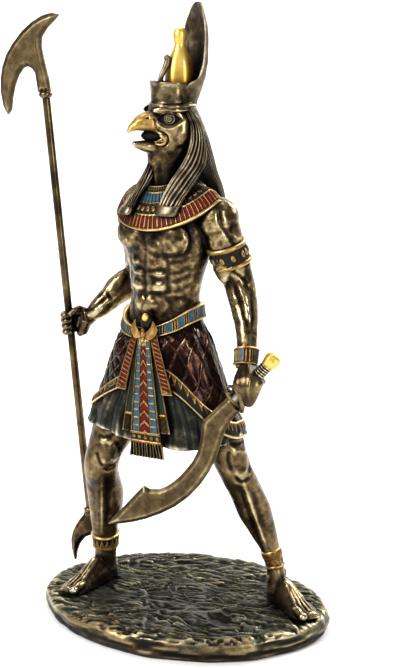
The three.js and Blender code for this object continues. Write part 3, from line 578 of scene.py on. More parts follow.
def layered(x, y, z=0.0, seed=0, octaves=4, fade=0.5):
    total, weight = 0.0, 1.0
    for octave in range(octaves):
        factor = 2.0**octave
        total = total + weight * chance(x * factor, y * factor, z * factor, seed + octave)
        weight *= fade
    return total


def buildRock(look):
    angle = roundAngles(look["around"])
    reach = look["reach"] + look["reach"][:3]
    edge = through([look["reach"][-1]] + reach, (angle / tau * 16 + 1) / 19)
    knobs = 0.02 * layered(np.cos(angle) * 3.2, np.sin(angle) * 3.2, 0, 11, 3, 0.5)
    wall = [(0.93, 0.0), (0.955, 0.0), (0.972, 0.05), (0.985, 0.16), (0.995, 0.3), (1.0, 0.42), (0.998, 0.55),
            (0.994, 0.68), (0.985, 0.8), (0.97, 0.9), (0.95, 0.97), (0.925, 1.0)]
    share = np.concatenate([[w[0] for w in wall], np.linspace(0.91, 0.015, 112)])
    rise = np.concatenate([[w[1] for w in wall], np.ones(112)])
    grow = share[:, None] * (edge + knobs)[None]
    x = look["length"] / 2 * grow * np.cos(angle)
    y = look["width"] / 2 * grow * np.sin(angle)
    bend = 6 * layered(x / 38, y / 30, 0, 3, 2)
    ledge = layered(x / look["grainAlong"], (y + bend) / look["grainAcross"], 0, look["seed"], 3, 0.55)
    ridge = 1 - np.abs(ledge) * 1.3
    fine = layered(x / 7, (y + bend) / 1.9, 0, 31, 3, 0.65)
    # thin beds that rise slowly and break off short
    bed = (2.2 * layered(x / 34, (y + 1.6 * bend) / 17, 0, 45, 3, 0.5) + (y + bend) / 10) % 1.0
    bed = bed * (1 - smoothStep(bed, 0.88, 1.0))
    relief = -1.9 + 0.8 * ridge + 0.5 * fine + 1.7 * bed - 0.7 * smoothStep(-ledge, 0.2, 0.6)
    inside = smoothStep(rise[:, None] * np.ones_like(x), 0.75, 1.0)
    z = look["thickness"] * (rise[:, None] + np.minimum(relief, 0.02) / look["thickness"] * inside)
    # the wall breaks into stones and thin ledges
    side = np.sin(np.clip(rise, 0, 1) * tau / 2)[:, None]
    stones = layered(x / 14, y / 14, z / 3.2, 21, 3, 0.5)
    ledges = layered(x / 30, y / 30, z / 1.6, 25, 2)
    push = side * (1.5 * np.minimum(stones, 0.25) + 0.9 * np.minimum(ledges, 0.3) - 0.7)
    out = np.stack([np.cos(angle), np.sin(angle)], 0)
    x, y = x + push * out[0], y + push * out[1]
    points, faces = skin(np.stack([x, y, np.maximum(z, 0)], -1))
    piece = meshObject("slateRock", points, faces)
    reliefMap(piece, 0.6, (2, 8))
    piece.data.materials.append(castSlate)
    piece.data.materials.append(wornRim)
    low = np.array([face.center[2] / mm for face in piece.data.polygons])
    mid = np.array([face.center[:2] for face in piece.data.polygons]) / mm
    band = chance(mid[:, 0] / 16, mid[:, 1] / 16, 0, 8) * 2.2 + 6.8
    # rubbed patches reach over the front edge
    band += 7 * smoothStep(-mid[:, 1], 30, 46) * smoothStep(chance(mid[:, 0] / 11, mid[:, 1] / 5, 0, 9), -0.1, 0.3)
    piece.data.polygons.foreach_set("material_index", (low < band).astype(np.int32))
    return standing(piece, "rock", "rocky_base")


# The rim of the slab is rubbed through to warm brown bronze.
wornRim = castFinish("cold-cast slate, rim rubbed to bronze", {
    "colours": [(0.0, "#060402"), (0.34, "#130e08"), (0.53, "#291f14"), (0.68, "#4d3f29"), (0.88, "#94825b")],
    "mottleSize": 9, "mottle": 0.16, "grainSize": 1.0, "speckle": 0.1,
    "rough": (0.55, 0.34), "metal": 0.8, "bump": 0.4,
})
buildRock(rockLook)
print("rock laid")


# Legs and feet

rightLeg = np.array([
    [-46.0, 5.0, 5, 5.4, 5.4, 6.0, 6.2, 20], [-46.0, 4.5, 11, 5.2, 5.2, 5.4, 6.0, 20],
    [-45.3, 3.4, 19, 5.5, 5.5, 5.6, 6.5, 20], [-44.8, 2.2, 28, 6.5, 6.4, 6.4, 7.8, 20],
    [-44.2, 0.9, 38, 8.3, 8.0, 7.3, 9.8, 20], [-43.7, -0.6, 47, 9.2, 8.9, 8.0, 10.5, 20],
    [-43.2, -3.4, 56, 8.7, 8.6, 8.2, 8.8, 20], [-41.9, -7.0, 65, 8.5, 8.5, 9.1, 7.8, 20],
    [-39.0, -8.6, 74, 8.8, 9.0, 8.9, 8.9, 18], [-34.8, -7.5, 84, 10.4, 10.9, 10.4, 11.3, 14],
    [-28.8, -5.2, 98, 12.8, 12.8, 12.6, 13.8, 12], [-21.0, -1.5, 117, 13.5, 13.0, 12.5, 14.5, 10],
])
leftLeg = np.array([
    [45.8, 6.2, 5, 4.8, 4.8, 5.6, 6.0, -44], [45.6, 6.3, 11, 4.5, 4.5, 4.9, 5.4, -42],
    [44.2, 6.8, 18.5, 4.3, 4.3, 4.8, 5.5, -38], [41.6, 6.9, 27, 4.8, 4.8, 5.4, 6.4, -35],
    [38.2, 5.8, 36.5, 6.6, 6.6, 6.8, 8.3, -32], [34.8, 3.2, 46.5, 8.1, 8.2, 7.7, 9.8, -30],
    [31.4, -0.1, 57, 7.9, 8.1, 8.0, 9.2, -28], [27.6, -4.6, 68, 8.1, 8.2, 8.8, 7.9, -25],
    [24.8, -7.0, 77, 8.8, 8.8, 8.9, 8.8, -18], [20.6, -7.6, 88, 10.2, 10.2, 10.0, 11.0, -8],
    [13.2, -7.5, 100, 12.2, 12.2, 12.2, 13.2, 2], [1.0, -6.5, 120, 13.5, 13.5, 12.5, 14.5, 10],
])
# Rows hold the way forward from the heel, the half width and the height of the instep.
footProfile = np.array([
    [0, 3.2, 5.5], [3, 4.6, 10], [9, 5.0, 13.5], [15, 5.2, 12.2],
    [21, 5.9, 8.6], [27, 6.6, 6.0], [32, 6.4, 4.4], [35, 5.2, 3.2],
])


def footForms(place, inner):
    # the sole and instep, five toes with their pads, and the heel; inner is 1 or -1
    row = through(footProfile, np.linspace(0, 1, 29))
    angle = (np.arange(28) + 0.5) / 28 * tau
    side = row[:, 1:2] * np.cos(angle) - inner * 0.06 * row[:, :1]
    height = np.maximum(row[:, 2:] * np.sin(angle), 0)
    forms = [skin(place.place(side, -row[:, :1] + 0 * side, height))]
    for toe in range(5):
        big = toe == 0
        at = inner * (4.0 if big else 1.6 - 2.35 * (toe - 1)) - inner * 2.1
        tip = 38.2 if big else 38 - 1.5 * toe
        thick = 2.3 if big else 1.6 - 0.08 * toe
        way = [place.place(at * 0.85, -tip + 11, thick + 1.3), place.place(at, -tip + 7, thick + 0.9),
               place.place(at, -tip + 4.5, thick + 0.3), place.place(at, -tip + 1.5, thick * 0.95)]
        forms.append(tube(through(way, np.linspace(0, 1, 9)),
                          thick * np.array([.7, .85, .95, 1, .92, .86, .95, .95, .5])))
    return forms


# The camera's own upright frame, for strokes that are drawn as the photograph shows them.
towardViewer = Upright(0, 0, -20)
rightFoot, leftFoot = Upright(-43.8, 11.2, 15.5), Upright(41.2, 11.6, -46)


def buildLeg(name, rows, foot, inner, thigh, marks, footMarks):
    forms = [limb(rows, 44, 80)] + footForms(foot, inner) + thigh
    for out, height in ((5.4, 13.5), (-5.0, 12.5)):
        forms.append(bulge(Upright(*rows[1, :2], rows[1, 7]), out * 0.78, 1.0, height, 1.5, 2.2, 2.6))
    piece = fused(name, forms, 0.5, 3)
    worked(piece, 0.2, 5.5, 81)
    strokes(piece, towardViewer, 0, [(path, width * 1.15, depth * 0.62) for path, width, depth in marks])
    strokes(piece, foot, "above", footMarks(inner))
    # calves and the hollow of the knee, on the side away from the photograph
    at = through(rows, [0.46, 0.36, 0.62])
    calf = Upright(at[0, 0], at[0, 1], rows[5, 7])
    strokes(piece, calf, 180, [
        ([(0, at[1, 2] - 12), (0.4, at[1, 2]), (0, at[0, 2] + 10)], 1.1, 0.7),
        ([(-6, at[1, 2] - 4), (-3, at[1, 2] - 9), (0, at[1, 2] - 10), (3, at[1, 2] - 9), (6, at[1, 2] - 4)], 1.2, 0.6),
        ([(-6, at[2, 2]), (0, at[2, 2] - 1.5), (6, at[2, 2])], 1.6, 0.7),
    ])
    return dressed(piece, 0.36, (4, 16), agedBronze, most=37000)


def footStrokes(inner):
    # tendons swell toward each toe, with cuts between the toes and a nail bed on each
    marks = []
    for toe in range(5):
        big = toe == 0
        at = inner * (4.0 if big else 1.6 - 2.35 * (toe - 1)) - inner * 2.1
        tip = 38.2 if big else 38 - 1.5 * toe
        marks.append(([(at * 0.35 - inner * 0.8, 13), (at * 0.6 - inner * 0.5, 20), (at * 0.85, tip - 10)], 0.75,
                      -0.55))
        marks.append(([(at - 0.5, tip - 1.6), (at + 0.5, tip - 1.6)], 0.7, 0.22))
        if toe < 4:
            beside = inner * (1.6 - 2.35 * toe) - inner * 2.1
            between = (at + beside) / 2
            marks.append(([(between, tip - 11), (between, tip - 3)], 0.5, 0.8))
    return marks


rightKnee = [
    # kneecap with its pads, the hollow beside it, and the shin's ridge
    ([(-41.5, 79), (-38.5, 80.5), (-35.5, 78.5)], 1.5, -0.9), ([(-41.5, 70.5), (-38.5, 68.5), (-35, 70)], 1.3, -0.7),
    ([(-43.5, 74.5), (-42.6, 71), (-40.5, 66.5)], 0.9, 0.8), ([(-34, 80), (-32.6, 75), (-34.6, 69.5)], 1.1, 1.0),
    ([(-42.5, 83.5), (-39.5, 82.3), (-35, 84.5), (-32, 88.5)], 1.0, 0.8),
    ([(-38.4, 66), (-33.5, 68.5), (-31.8, 73)], 0.9, 0.9), ([(-40.5, 65.5), (-37.5, 64), (-34, 66.5)], 0.8, 0.7),
    ([(-40.6, 62), (-41.6, 50), (-42, 38), (-42.2, 26)], 0.9, -0.6),
    ([(-38.4, 60), (-38.6, 48), (-39.6, 34)], 1.3, 0.7),
    ([(-45.6, 60), (-46.4, 46), (-45.6, 32)], 1.3, 0.5), ([(-35.2, 56), (-36.2, 44), (-38.4, 33)], 1.2, -0.4),
]
leftKnee = [
    ([(22.2, 80), (25.5, 81.5), (28.8, 79)], 1.5, -0.9), ([(23.4, 71.5), (26.4, 69.5), (29.8, 71.5)], 1.3, -0.7),
    ([(20.8, 82), (20.4, 77), (22.4, 71)], 1.0, 0.9), ([(30.8, 80.5), (31.6, 75), (30.2, 69.5)], 1.0, 0.9),
    ([(21.5, 86), (25.6, 84.4), (30.5, 86.5)], 1.0, 0.7), ([(23.6, 68.2), (27, 65.6), (30.8, 67.6)], 0.9, 0.9),
    ([(27.6, 66), (30.6, 56), (34.4, 44), (38.4, 31), (40.6, 22)], 0.9, -0.8),
    ([(25.6, 64), (28.2, 54), (32.2, 42), (36.6, 30)], 1.2, 0.7), ([(31.8, 62), (35, 50), (38.4, 39)], 1.2, 0.6),
    ([(34.6, 62), (38, 50), (40.8, 40)], 1.4, -0.4),
]
buildLeg("rightLeg", rightLeg, rightFoot, 1,
         [egg((-44.6, -9.0, 58), (-42.4, -12.1, 71), 4.6, 4.4, 20)], rightKnee, footStrokes)
buildLeg("leftLeg", leftLeg, leftFoot, -1,
         [egg((29.6, -4.6, 61), (26.6, -11.1, 74.5), 4.4, 4.4, -25)], leftKnee, footStrokes)
print("legs standing")


# Torso and arms

torsoRows = np.array([
    [-9.8, -3.5, 118, 21.5, 21.5, 14.2, 17.0, 10], [-9.7, -3.4, 129.5, 20.6, 20.6, 14.2, 15.4, 11],
    [-9.4, -3.3, 141, 19.0, 19.0, 13.4, 12.8, 13], [-9.0, -3.2, 152, 18.4, 18.0, 13.2, 12.0, 15],
    [-8.5, -3.1, 163, 20.2, 19.4, 14.4, 13.6, 18], [-8.0, -2.9, 173, 23.0, 22.0, 15.8, 15.8, 20],
    [-7.7, -2.4, 183, 25.0, 24.0, 16.4, 17.0, 20], [-7.6, -1.4, 192, 24.0, 23.6, 14.0, 15.8, 20],
    [-7.9, 0.0, 200, 17.0, 17.0, 9.6, 12.0, 20], [-8.1, 1.3, 207, 10.0, 10.0, 8.0, 9.6, 25],
])
leftArm = np.array([
    [37.6, -21.9, 124.5, 4.6, 4.6, 4.2, 3.2, 15], [37.2, -18.9, 130.3, 4.7, 4.7, 4.3, 4.3, 15],
    [36.0, -14.9, 137.0, 5.1, 5.0, 4.7, 4.7, 15], [33.6, -9.6, 145.0, 6.2, 5.8, 5.7, 5.8, 15],
    [30.5, -5.6, 153.0, 7.4, 6.6, 6.7, 7.0, 15], [27.7, -3.6, 161.0, 7.8, 7.0, 7.0, 7.6, 15],
    [25.2, -4.2, 168.5, 8.6, 7.6, 8.2, 8.6, 15], [22.8, -6.0, 177.0, 8.6, 7.8, 8.8, 9.0, 15],
    [20.9, -8.0, 186.0, 8.8, 8.1, 9.0, 9.0, 15], [18.8, -8.6, 196.0, 8.0, 8.0, 8.6, 8.4, 15],
])
rightUpperArm = np.array([
    [-38.8, 34.4, 149.5, 5.2, 5.2, 5.2, 5.6, 20], [-37.4, 32.8, 155.5, 6.9, 6.7, 6.8, 7.2, 20],
    [-35.2, 28.6, 163.0, 7.6, 7.2, 7.7, 8.0, 20], [-32.4, 22.2, 172.5, 8.3, 8.1, 8.7, 8.9, 20],
    [-29.9, 15.8, 182.0, 8.5, 8.5, 8.9, 8.9, 20], [-28.0, 9.4, 191.0, 9.0, 9.0, 9.0, 9.0, 20],
])
rightForearm = np.array([
    [-60.8, 22.4, 132.6, 3.4, 3.4, 3.4, 3.4, 20], [-58.6, 22.6, 134.6, 4.0, 4.0, 3.9, 3.9, 20],
    [-55.4, 23.6, 137.4, 5.2, 5.2, 5.0, 5.0, 20], [-50.0, 27.0, 142.8, 6.4, 6.4, 6.0, 6.0, 20],
    [-43.8, 30.8, 148.0, 6.9, 6.9, 6.5, 6.5, 20], [-37.6, 34.0, 153.4, 5.8, 5.8, 5.8, 5.8, 20],
])
torsoFront = [
    # between the breasts and along their lower edges
    ([(-1.8, 184), (0, 179), (-0.1, 175.4)], 1.1, 0.9),
    ([(0.4, 177.8), (3.4, 175.1), (8.9, 174.1), (16.5, 175.3), (19.8, 178.4), (22, 182.5)], 1.0, 0.9),
    ([(-19.1, 177.8), (-15, 175), (-11.1, 174.6), (-4.8, 177.2), (-2.2, 179.9)], 1.0, 0.9),
    ([(7.6, 180.4), (8.6, 180.4)], 0.9, -0.5), ([(-12.4, 179.6), (-11.4, 179.6)], 0.9, -0.5),
    # the line down the belly and the rows of muscle beside it
    ([(-0.1, 175.4), (-0.6, 170.4), (-1.4, 162.9), (-1.8, 156.7), (-2.1, 153.2), (-4, 147.1)], 0.9, 0.9),
    ([(0.2, 166.6), (5.5, 166.9), (11, 167.6)], 0.75, 0.75), ([(0, 163.3), (5, 163.2), (11, 163.8)], 0.7, 0.6),
    ([(-0.4, 155.4), (5, 155.9), (10.6, 156.9)], 0.75, 0.8),
    ([(-11, 168.4), (-6.4, 168), (-1, 166.6)], 0.75, 0.75), ([(-11, 163.5), (-6, 163.2), (-1.4, 163.2)], 0.7, 0.6),
    ([(-10.8, 156.6), (-6, 155.8), (-2.2, 155.4)], 0.75, 0.8),
    ([(11.2, 174.5), (11.5, 167.8), (10.6, 161.5), (10.6, 155.4)], 0.9, 0.85),
    ([(-10.4, 174), (-12.4, 165.5), (-12.6, 155.5)], 0.9, 0.85),
    ([(5.4, 172.4), (6.6, 169.4)], 1.1, 0.45), ([(-6.6, 172.4), (-7.6, 169.6)], 1.1, 0.45),
    # navel with the fold of the belly round it
    ([(-2.5, 152.6), (-1.7, 153.4)], 0.9, 1.3), ([(-4.6, 154.4), (-2.0, 155.2), (0.4, 154.4)], 0.6, -0.35),
    ([(0.4, 155.1), (7.2, 154.9), (10.6, 151.6), (9.9, 147.9), (6.8, 145)], 0.9, 0.8),
    ([(-3.4, 154.6), (-8.2, 154.4), (-11.4, 150.6), (-10, 146)], 0.9, 0.8),
    # ribs and slanting muscles under the arm
    ([(12, 171.5), (16.7, 171.7), (20.4, 174.1)], 0.8, 0.8), ([(11.3, 165.3), (16, 166.7), (19.6, 169)], 0.8, 0.8),
    ([(12, 161.6), (15.8, 162.9), (19.4, 165.5)], 0.8, 0.7), ([(11.6, 157), (15.4, 158.2), (18.6, 160.4)], 0.8, 0.6),
    ([(-12.6, 171), (-16.4, 172), (-19.4, 174.4)], 0.8, 0.8), ([(-13, 165.4), (-16.2, 167), (-18.8, 169)], 0.8, 0.8),
    ([(10.3, 153.5), (14.9, 153.5), (16.9, 151.1), (16.7, 148)], 0.9, 0.9),
    ([(-12.4, 153.5), (-15.4, 153), (-17, 150.4)], 0.9, 0.8),
    ([(14.4, 174.6), (13.4, 168), (14.2, 160)], 1.2, 0.35),
]
torsoBack = [([(0, 196), (0.4, 180), (0, 165), (0, 148)], 1.7, 1.7)] + bothSides([
    ([(3.4, 172), (3.8, 162), (3.6, 151)], 2.2, -0.8),
    ([(6, 193), (8, 184), (14, 178.5), (19, 181)], 1.5, 1.1),
    ([(18, 177), (12, 166), (6, 156)], 1.4, 0.9),
    ([(8, 189), (15, 187)], 1.6, -0.6),
])
armsSeen = [
    # left arm: the shoulder's edge, the parting of biceps and triceps, the bend, and the long muscles below it
    ([(15.4, 197), (16.6, 191), (19, 186), (22.6, 181.6)], 1.1, 1.0),
    ([(20.8, 191), (22.4, 183), (23.4, 178.6)], 1.3, 0.7),
    ([(25.6, 190), (25.2, 184), (24.2, 179.6)], 1.2, -0.5), ([(17.8, 190), (18.6, 184)], 1.2, -0.5),
    ([(20.4, 172), (22.6, 167.5), (26.2, 164.6), (28.6, 163.4)], 0.9, 0.8),
    ([(28.8, 172), (28.6, 165), (29.4, 158)], 1.0, 0.7),
    ([(22.6, 163), (25.4, 155), (28.2, 147), (29.4, 140)], 1.1, 0.7), ([(30.6, 160), (31.4, 150), (31, 141)], 1.0, 0.7),
    ([(25.2, 162), (27.8, 154), (29.8, 145)], 1.2, -0.5), ([(33.4, 158), (33.6, 148), (32.4, 140)], 1.2, -0.35),
    # right forearm: the long groove under the upper muscle
    ([(-57.4, 134.6), (-52.2, 139.6), (-46.4, 144.6), (-41.4, 149.6), (-37.6, 154.6)], 0.9, 1.2),
    ([(-58.4, 131.6), (-51, 135.4), (-44.6, 139.6), (-39.6, 143.6)], 0.8, 0.7),
    ([(-56.4, 137.4), (-49.6, 144), (-42.4, 150.6)], 1.1, -0.5), ([(-40.4, 146), (-37.4, 142.6)], 0.7, 0.7),
    ([(-29.6, 168), (-32, 160), (-35, 156)], 1.1, 0.7),
]


def buildTorso():
    forms = [limb(torsoRows, 72, 90, upright=True), limb(leftArm, 44, 80), limb(rightUpperArm, 44, 60),
             limb(rightForearm, 44, 50)]
    for side in (1, -1):
        forms.append(bulge(chest, side * 10.4, -10.6, 182.2, 11.6, 5.8, 9.4))
        forms.append(egg(chest.place(side * 4, 4, 209), chest.place(side * 22, 3, 197), 6.0, 6.0, 20, 0))
        forms.append(bulge(chest, side * 13, 10.5, 184, 8.5, 6.6, 10))
    for lump in ((5.2, -12.2, 170.8, 5.0, 3.3, 4.4), (-5.6, -12.0, 170.2, 4.8, 3.3, 4.0),
                 (5.7, -11.9, 165.0, 5.2, 3.1, 3.3),
                 (-5.0, -11.8, 164.4, 4.7, 3.2, 3.5), (4.9, -11.4, 159.2, 5.2, 3.3, 4.5),
                 (-5.9, -11.2, 158.6, 4.9, 3.1, 4.8),
                 (-1.5, -9.8, 149.5, 8.6, 4.8, 7.0)):
        side, back, height, wide, deep, tall = lump
        forms.append(bulge(waist, side, back, height, wide, deep - 0.35, tall))
    forms.append(bulge(Upright(19.2, -8.4, 20), 0, 0, 190.9, 10.0, 10.2, 10.6))
    forms.append(bulge(Upright(-27.4, 6.9, 20), 0, 0, 188.2, 9.2, 10.0, 11.0))
    forms.append(egg((23.4, -10.2, 161), (20.6, -12.4, 184), 5.0, 2.8))
    forms.append(egg((27.4, 1.2, 160), (23.6, -1.0, 184), 5.0, 4.6))
    forms.append(egg((35.4, -10.4, 141), (31.2, -5.8, 163), 4.4, 4.2))
    forms.append(egg((-54.5, 22.6, 139.2), (-41.4, 30.0, 157), 4.6, 4.4, 20))
    piece = fused("torsoAndArms", forms, 0.56, 6)
    worked(piece, 0.28, 6.5, 82)
    strokes(piece, chest, 0, [(path, width * 1.4, depth * 0.42) for path, width, depth in torsoFront])
    strokes(piece, chest, 180, torsoBack)
    strokes(piece, towardViewer, 0, [(path, width * 1.15, depth * 0.75) for path, width, depth in armsSeen])
    worked(piece, 0.13, 2.6, 83)
    reliefMap(piece, 0.4, (5, 22))
    piece.data.materials.append(agedBronze)
    lighten(piece, 78000)
    return standing(piece, "figure", "horus_figure")


buildTorso()
print("torso and arms raised")


# Hands

staffHold = {"at": (-70.9, 21, 128.8), "along": (-0.0925, 0, 1), "palm": (0.9, 0.3, 0)}
swordHold = {"at": (40.9, -25.6, 118.2), "along": (0.655, 0.057, 0.753), "palm": (-0.3, -0.9, 0.3)}


def gripOf(hold):
    at = np.array(hold["at"]) + [0, 0, soleHeight]
    along = unit(np.array(hold["along"], float))
    palm = np.array(hold["palm"], float)
    palm = unit(palm - palm.dot(along) * along)
    return at, along, palm, np.cross(along, palm)


def fingers(hold, reach, pitch, thick, start, stop):
    # four fingers swept round what the fist holds, thick at their joints, each ending a little earlier
    at, along, palm, across = gripOf(hold)
    forms = []
    for slot, late in ((1.5, 12), (0.5, 0), (-0.5, 3), (-1.5, 16)):
        share = np.linspace(0, 1, 26)
        angle = np.radians(start + (stop - np.sign(stop - start) * late - start) * share)
        out = np.cos(angle)[:, None] * palm + np.sin(angle)[:, None] * across
        joints = sum(np.exp(-((share - joint) / 0.07) ** 2) for joint in (0.12, 0.48, 0.8))
        radius = thick * (0.88 + 0.14 * joints) * np.where(share > 0.97, 0.7, 1)
        away = reach + 0.35 * joints
        forms.append(tube(at + out * away[:, None] + along * slot * pitch, radius, 18))
    return forms


def buildHands():
    right = fingers(staffHold, 3.4, 2.9, 1.5, 20, 300)
    right += [
        # palm behind the staff, the heel of the thumb, and the thumb itself over the first finger
        tube([(-66.4, 25.4, 147.0), (-66.0, 25.6, 141), (-66.6, 25.2, 134.8)], [3.2, 4.0, 3.2], 24),
        tube([(-62.4, 21.0, 146.2), (-61.6, 20.8, 141.6), (-63.6, 20.6, 136.2), (-66, 21.4, 134.6)],
             [2.7, 3.1, 2.6, 1.8], 24),
        tube([(-62.4, 21.4, 145.6), (-64.6, 19.0, 148.2), (-66.4, 16.8, 147.4), (-68.6, 15.4, 145.2)],
             [2.5, 1.9, 1.75, 1.3], 20),
        tube([(-66.0, 23.4, 141.0), (-62.4, 22.6, 142.4), (-59.0, 22.6, 144.8), (-55.6, 23.6, 148.4)],
             [4.8, 4.4, 3.6, 4.4], 28),
    ]
    piece = fused("rightHand", right, 0.34, 3)
    strokes(piece, towardViewer, 0, [
        ([(-53.4, 138.4), (-52.4, 134.4), (-51.8, 130.2)], 0.8, 0.6),
        ([(-56.6, 133), (-57.4, 129), (-57.2, 125.6)], 0.7, 0.7),
        ([(-54.8, 134.6), (-54.6, 130), (-56.4, 126)], 0.8, -0.4),
    ])
    dressed(piece, 0.5, (4, 16), agedBronze, most=28000)
    left = fingers(swordHold, 3.7, 3.0, 1.7, 60, 255)
    left += [
        # the broad back of the hand toward the viewer, the wrist, and the thumb on the side of the body
        limb(np.array([
            [39.2, -22.6, 126.2, 3.8, 3.8, 3.0, 3.6, -20], [40.2, -26.2, 123.2, 5.6, 5.6, 3.8, 4.2, -20],
            [41.3, -29.0, 119.6, 6.9, 6.9, 4.4, 4.4, -20], [41.6, -29.0, 115.5, 6.0, 5.6, 3.9, 4.0, -20],
            [41.8, -28.8, 111.5, 4.2, 3.4, 3.0, 3.4, -20], [41.4, -28.4, 108.9, 2.0, 1.8, 2.0, 2.4, -20],
        ]), 40, 40),
        limb(leftArm, 40, 16, 0, 0.16),
        tube([(37.0, -24.8, 129), (35.4, -25.6, 126.5), (36.0, -22.8, 122)], [1.8, 2.4, 2.0]),
    ]
    piece = fused("leftHand", left, 0.36, 6)
    strokes(piece, towardViewer, 0, [
        # the tendon ridge down the back of the hand, with soft hollows beside it
        ([(28.6, 130), (29.6, 124), (28.8, 118), (29.4, 113)], 1.0, -0.5),
        ([(31.8, 129), (32.6, 123), (31.6, 117)], 1.4, 0.3),
        ([(25.6, 129), (25.4, 124), (25.8, 119)], 1.3, 0.35),
    ])
    worked(piece, 0.1, 4, 84)
    dressed(piece, 0.6, (4, 16), agedBronze, most=28000)


buildHands()
print("hands closed")


# Falcon head

neckAndSkull = np.array([
    [0, 0, 198, 10.0, 10.0, 11.0, 10.0], [0, 0, 205.5, 8.8, 8.8, 11.0, 10.0], [0, 0.2, 213, 8.6, 8.6, 11.6, 10.0],
    [0, 0, 220.5, 9.6, 9.6, 12.2, 10.2], [0, 0, 228, 10.4, 10.4, 11.5, 10.6], [0, 0, 235.5, 10.8, 10.8, 11.5, 10.7],
    [0, 0, 243, 9.0, 9.0, 9.4, 9.2],
])
# Rows hold the way forward, the half width, the lower height and the upper height.
upperBeak = np.array([
    [5, 7.6, 228.6, 240.3], [8.5, 7.2, 229.2, 240.1], [12, 6.2, 230.0, 239.8], [15.2, 5.0, 230.6, 239.0],
    [18.2, 3.8, 230.8, 237.2], [20.4, 2.6, 230.6, 235.0], [22.0, 1.5, 230.0, 233.0], [22.8, 0.6, 229.5, 230.9],
])
lowerBeak = np.array([
    [3, 6.8, 218.6, 228.2], [7, 6.3, 218.8, 227.2], [11, 5.3, 219.8, 226.7], [14.5, 4.2, 221.1, 226.5],
    [17.6, 3.0, 222.4, 226.4], [20.0, 1.3, 223.9, 226.0],
])
mouthGap = np.array([
    [6.6, 0.6, 227.8, 228.6], [8.0, 6.4, 227.0, 229.4], [12, 9.5, 226.4, 230.4], [16, 9.5, 226.2, 230.9],
    [20, 9.5, 226.1, 231.0], [22, 9.5, 226.0, 229.6], [25, 9.5, 225.6, 227.2],
])
# the filling behind the open mouth, coloured near black as painted shade
mouthFill = np.array([
    [5, 5.2, 226.0, 231.0], [9, 5.0, 226.0, 231.2], [12.2, 4.0, 226.0, 231.2], [14.0, 2.9, 226.5, 230.6],
    [15.4, 1.2, 227.6, 229.4],
])


def placedRows(place, rows):
    # rows given by side, back and height become rows by x, y and height
    at = place.place(rows[:, 0], rows[:, 1], rows[:, 2] - soleHeight)
    turns = rows[:, 7:8] if rows.shape[1] > 7 else np.full((len(rows), 1), place.turn)
    return np.concatenate([at, rows[:, 3:7], turns], 1)


def forwardLoft(profile, squareness=1.0, sides=40, steps=44):
    row = through(profile, np.linspace(0, 1, steps + 1))
    angle = roundAngles(sides)
    across, up = np.cos(angle), np.sin(angle)
    across = np.sign(across) * np.abs(across) ** squareness
    side = row[:, 1:2] * across
    height = (row[:, 2:3] + row[:, 3:4]) / 2 + (row[:, 3:4] - row[:, 2:3]) / 2 * up
    return skin(head.place(side, -row[:, :1] + 0 * side, height))


def cutAway(piece, form):
    cutter = meshObject("cutter", *form)
    cut = piece.modifiers.new("cut away", "BOOLEAN")
    cut.operation, cut.solver, cut.object = "DIFFERENCE", "EXACT", cutter
    applied(piece)
    bpy.data.objects.remove(cutter)
    return piece


def treeOf(piece):
    mesh = piece.data
    corners = [list(face.vertices) for face in mesh.polygons]
    return BVHTree.FromPolygons([v.co / mm for v in mesh.vertices], corners)


def laidOn(tree, place, look, path, lift=0.0):
    # a drawn path laid on a skin, as seen from an angle about the frame's front
    path = np.asarray(path, float)
    line = through(path, np.linspace(0, 1, 6 * (len(path) - 1) + 1)) if len(path) > 2 else path
    c, s = cos(radians(look)), sin(radians(look))
    points = []
    for across, height in line:
        start = place.place(across * c + 60 * s, across * s - 60 * c, height)
        end = place.place(across * c, across * s, height)
        spot, normal, _, _ = tree.ray_cast(Vector(start), Vector(end - start))
        if spot is not None:
            points.append(np.array(spot) + lift * np.array(normal))
    return np.array(points)


def facesWhere(piece, rule, slotIndex):
    # faces whose middles pass the rule take another finish of the piece
    centres = np.empty(len(piece.data.polygons) * 3, np.float32)
    piece.data.polygons.foreach_get("center", centres)
    chosen = rule(centres.reshape(-1, 3).astype(float) / mm)
    current = np.empty(len(piece.data.polygons), np.int32)
    piece.data.polygons.foreach_get("material_index", current)
    current[chosen] = slotIndex
    piece.data.polygons.foreach_set("material_index", current)


cheekLines = [
    # the eye's almond hollow with its long corner, the lid below it, the cere's edge, the jaw and the neck
    ([(-5.8, 235.6), (-3.4, 232.9), (0, 232.2), (3.6, 233.2), (6.4, 235.4)], 0.6, -0.3),
    ([(-7.5, 240.2), (-1.6, 241.2), (3.7, 239.6), (6.6, 236.4)], 0.8, -0.45),
    ([(-6.9, 237.2), (-6.3, 235.0), (-5.8, 231.6)], 0.5, 0.5),
    ([(-5.8, 231.4), (-2.6, 230.2), (-0.6, 228.2), (-0.9, 225.2), (-3.4, 223.6)], 0.6, 0.55),
    ([(-1, 220.4), (3, 221.4), (6.4, 224.4)], 1.4, 0.3),
    ([(-8, 218), (-7, 212), (-6.6, 205)], 1.2, -0.35), ([(-4.8, 218), (-4, 210), (-3.6, 203)], 1.5, 0.4),
    ([(-10.5, 237.3), (-9.0, 236.9)], 0.6, 1.3), ([(-15, 235.4), (-12, 234.4), (-8.4, 234.2)], 0.6, 0.2),
]
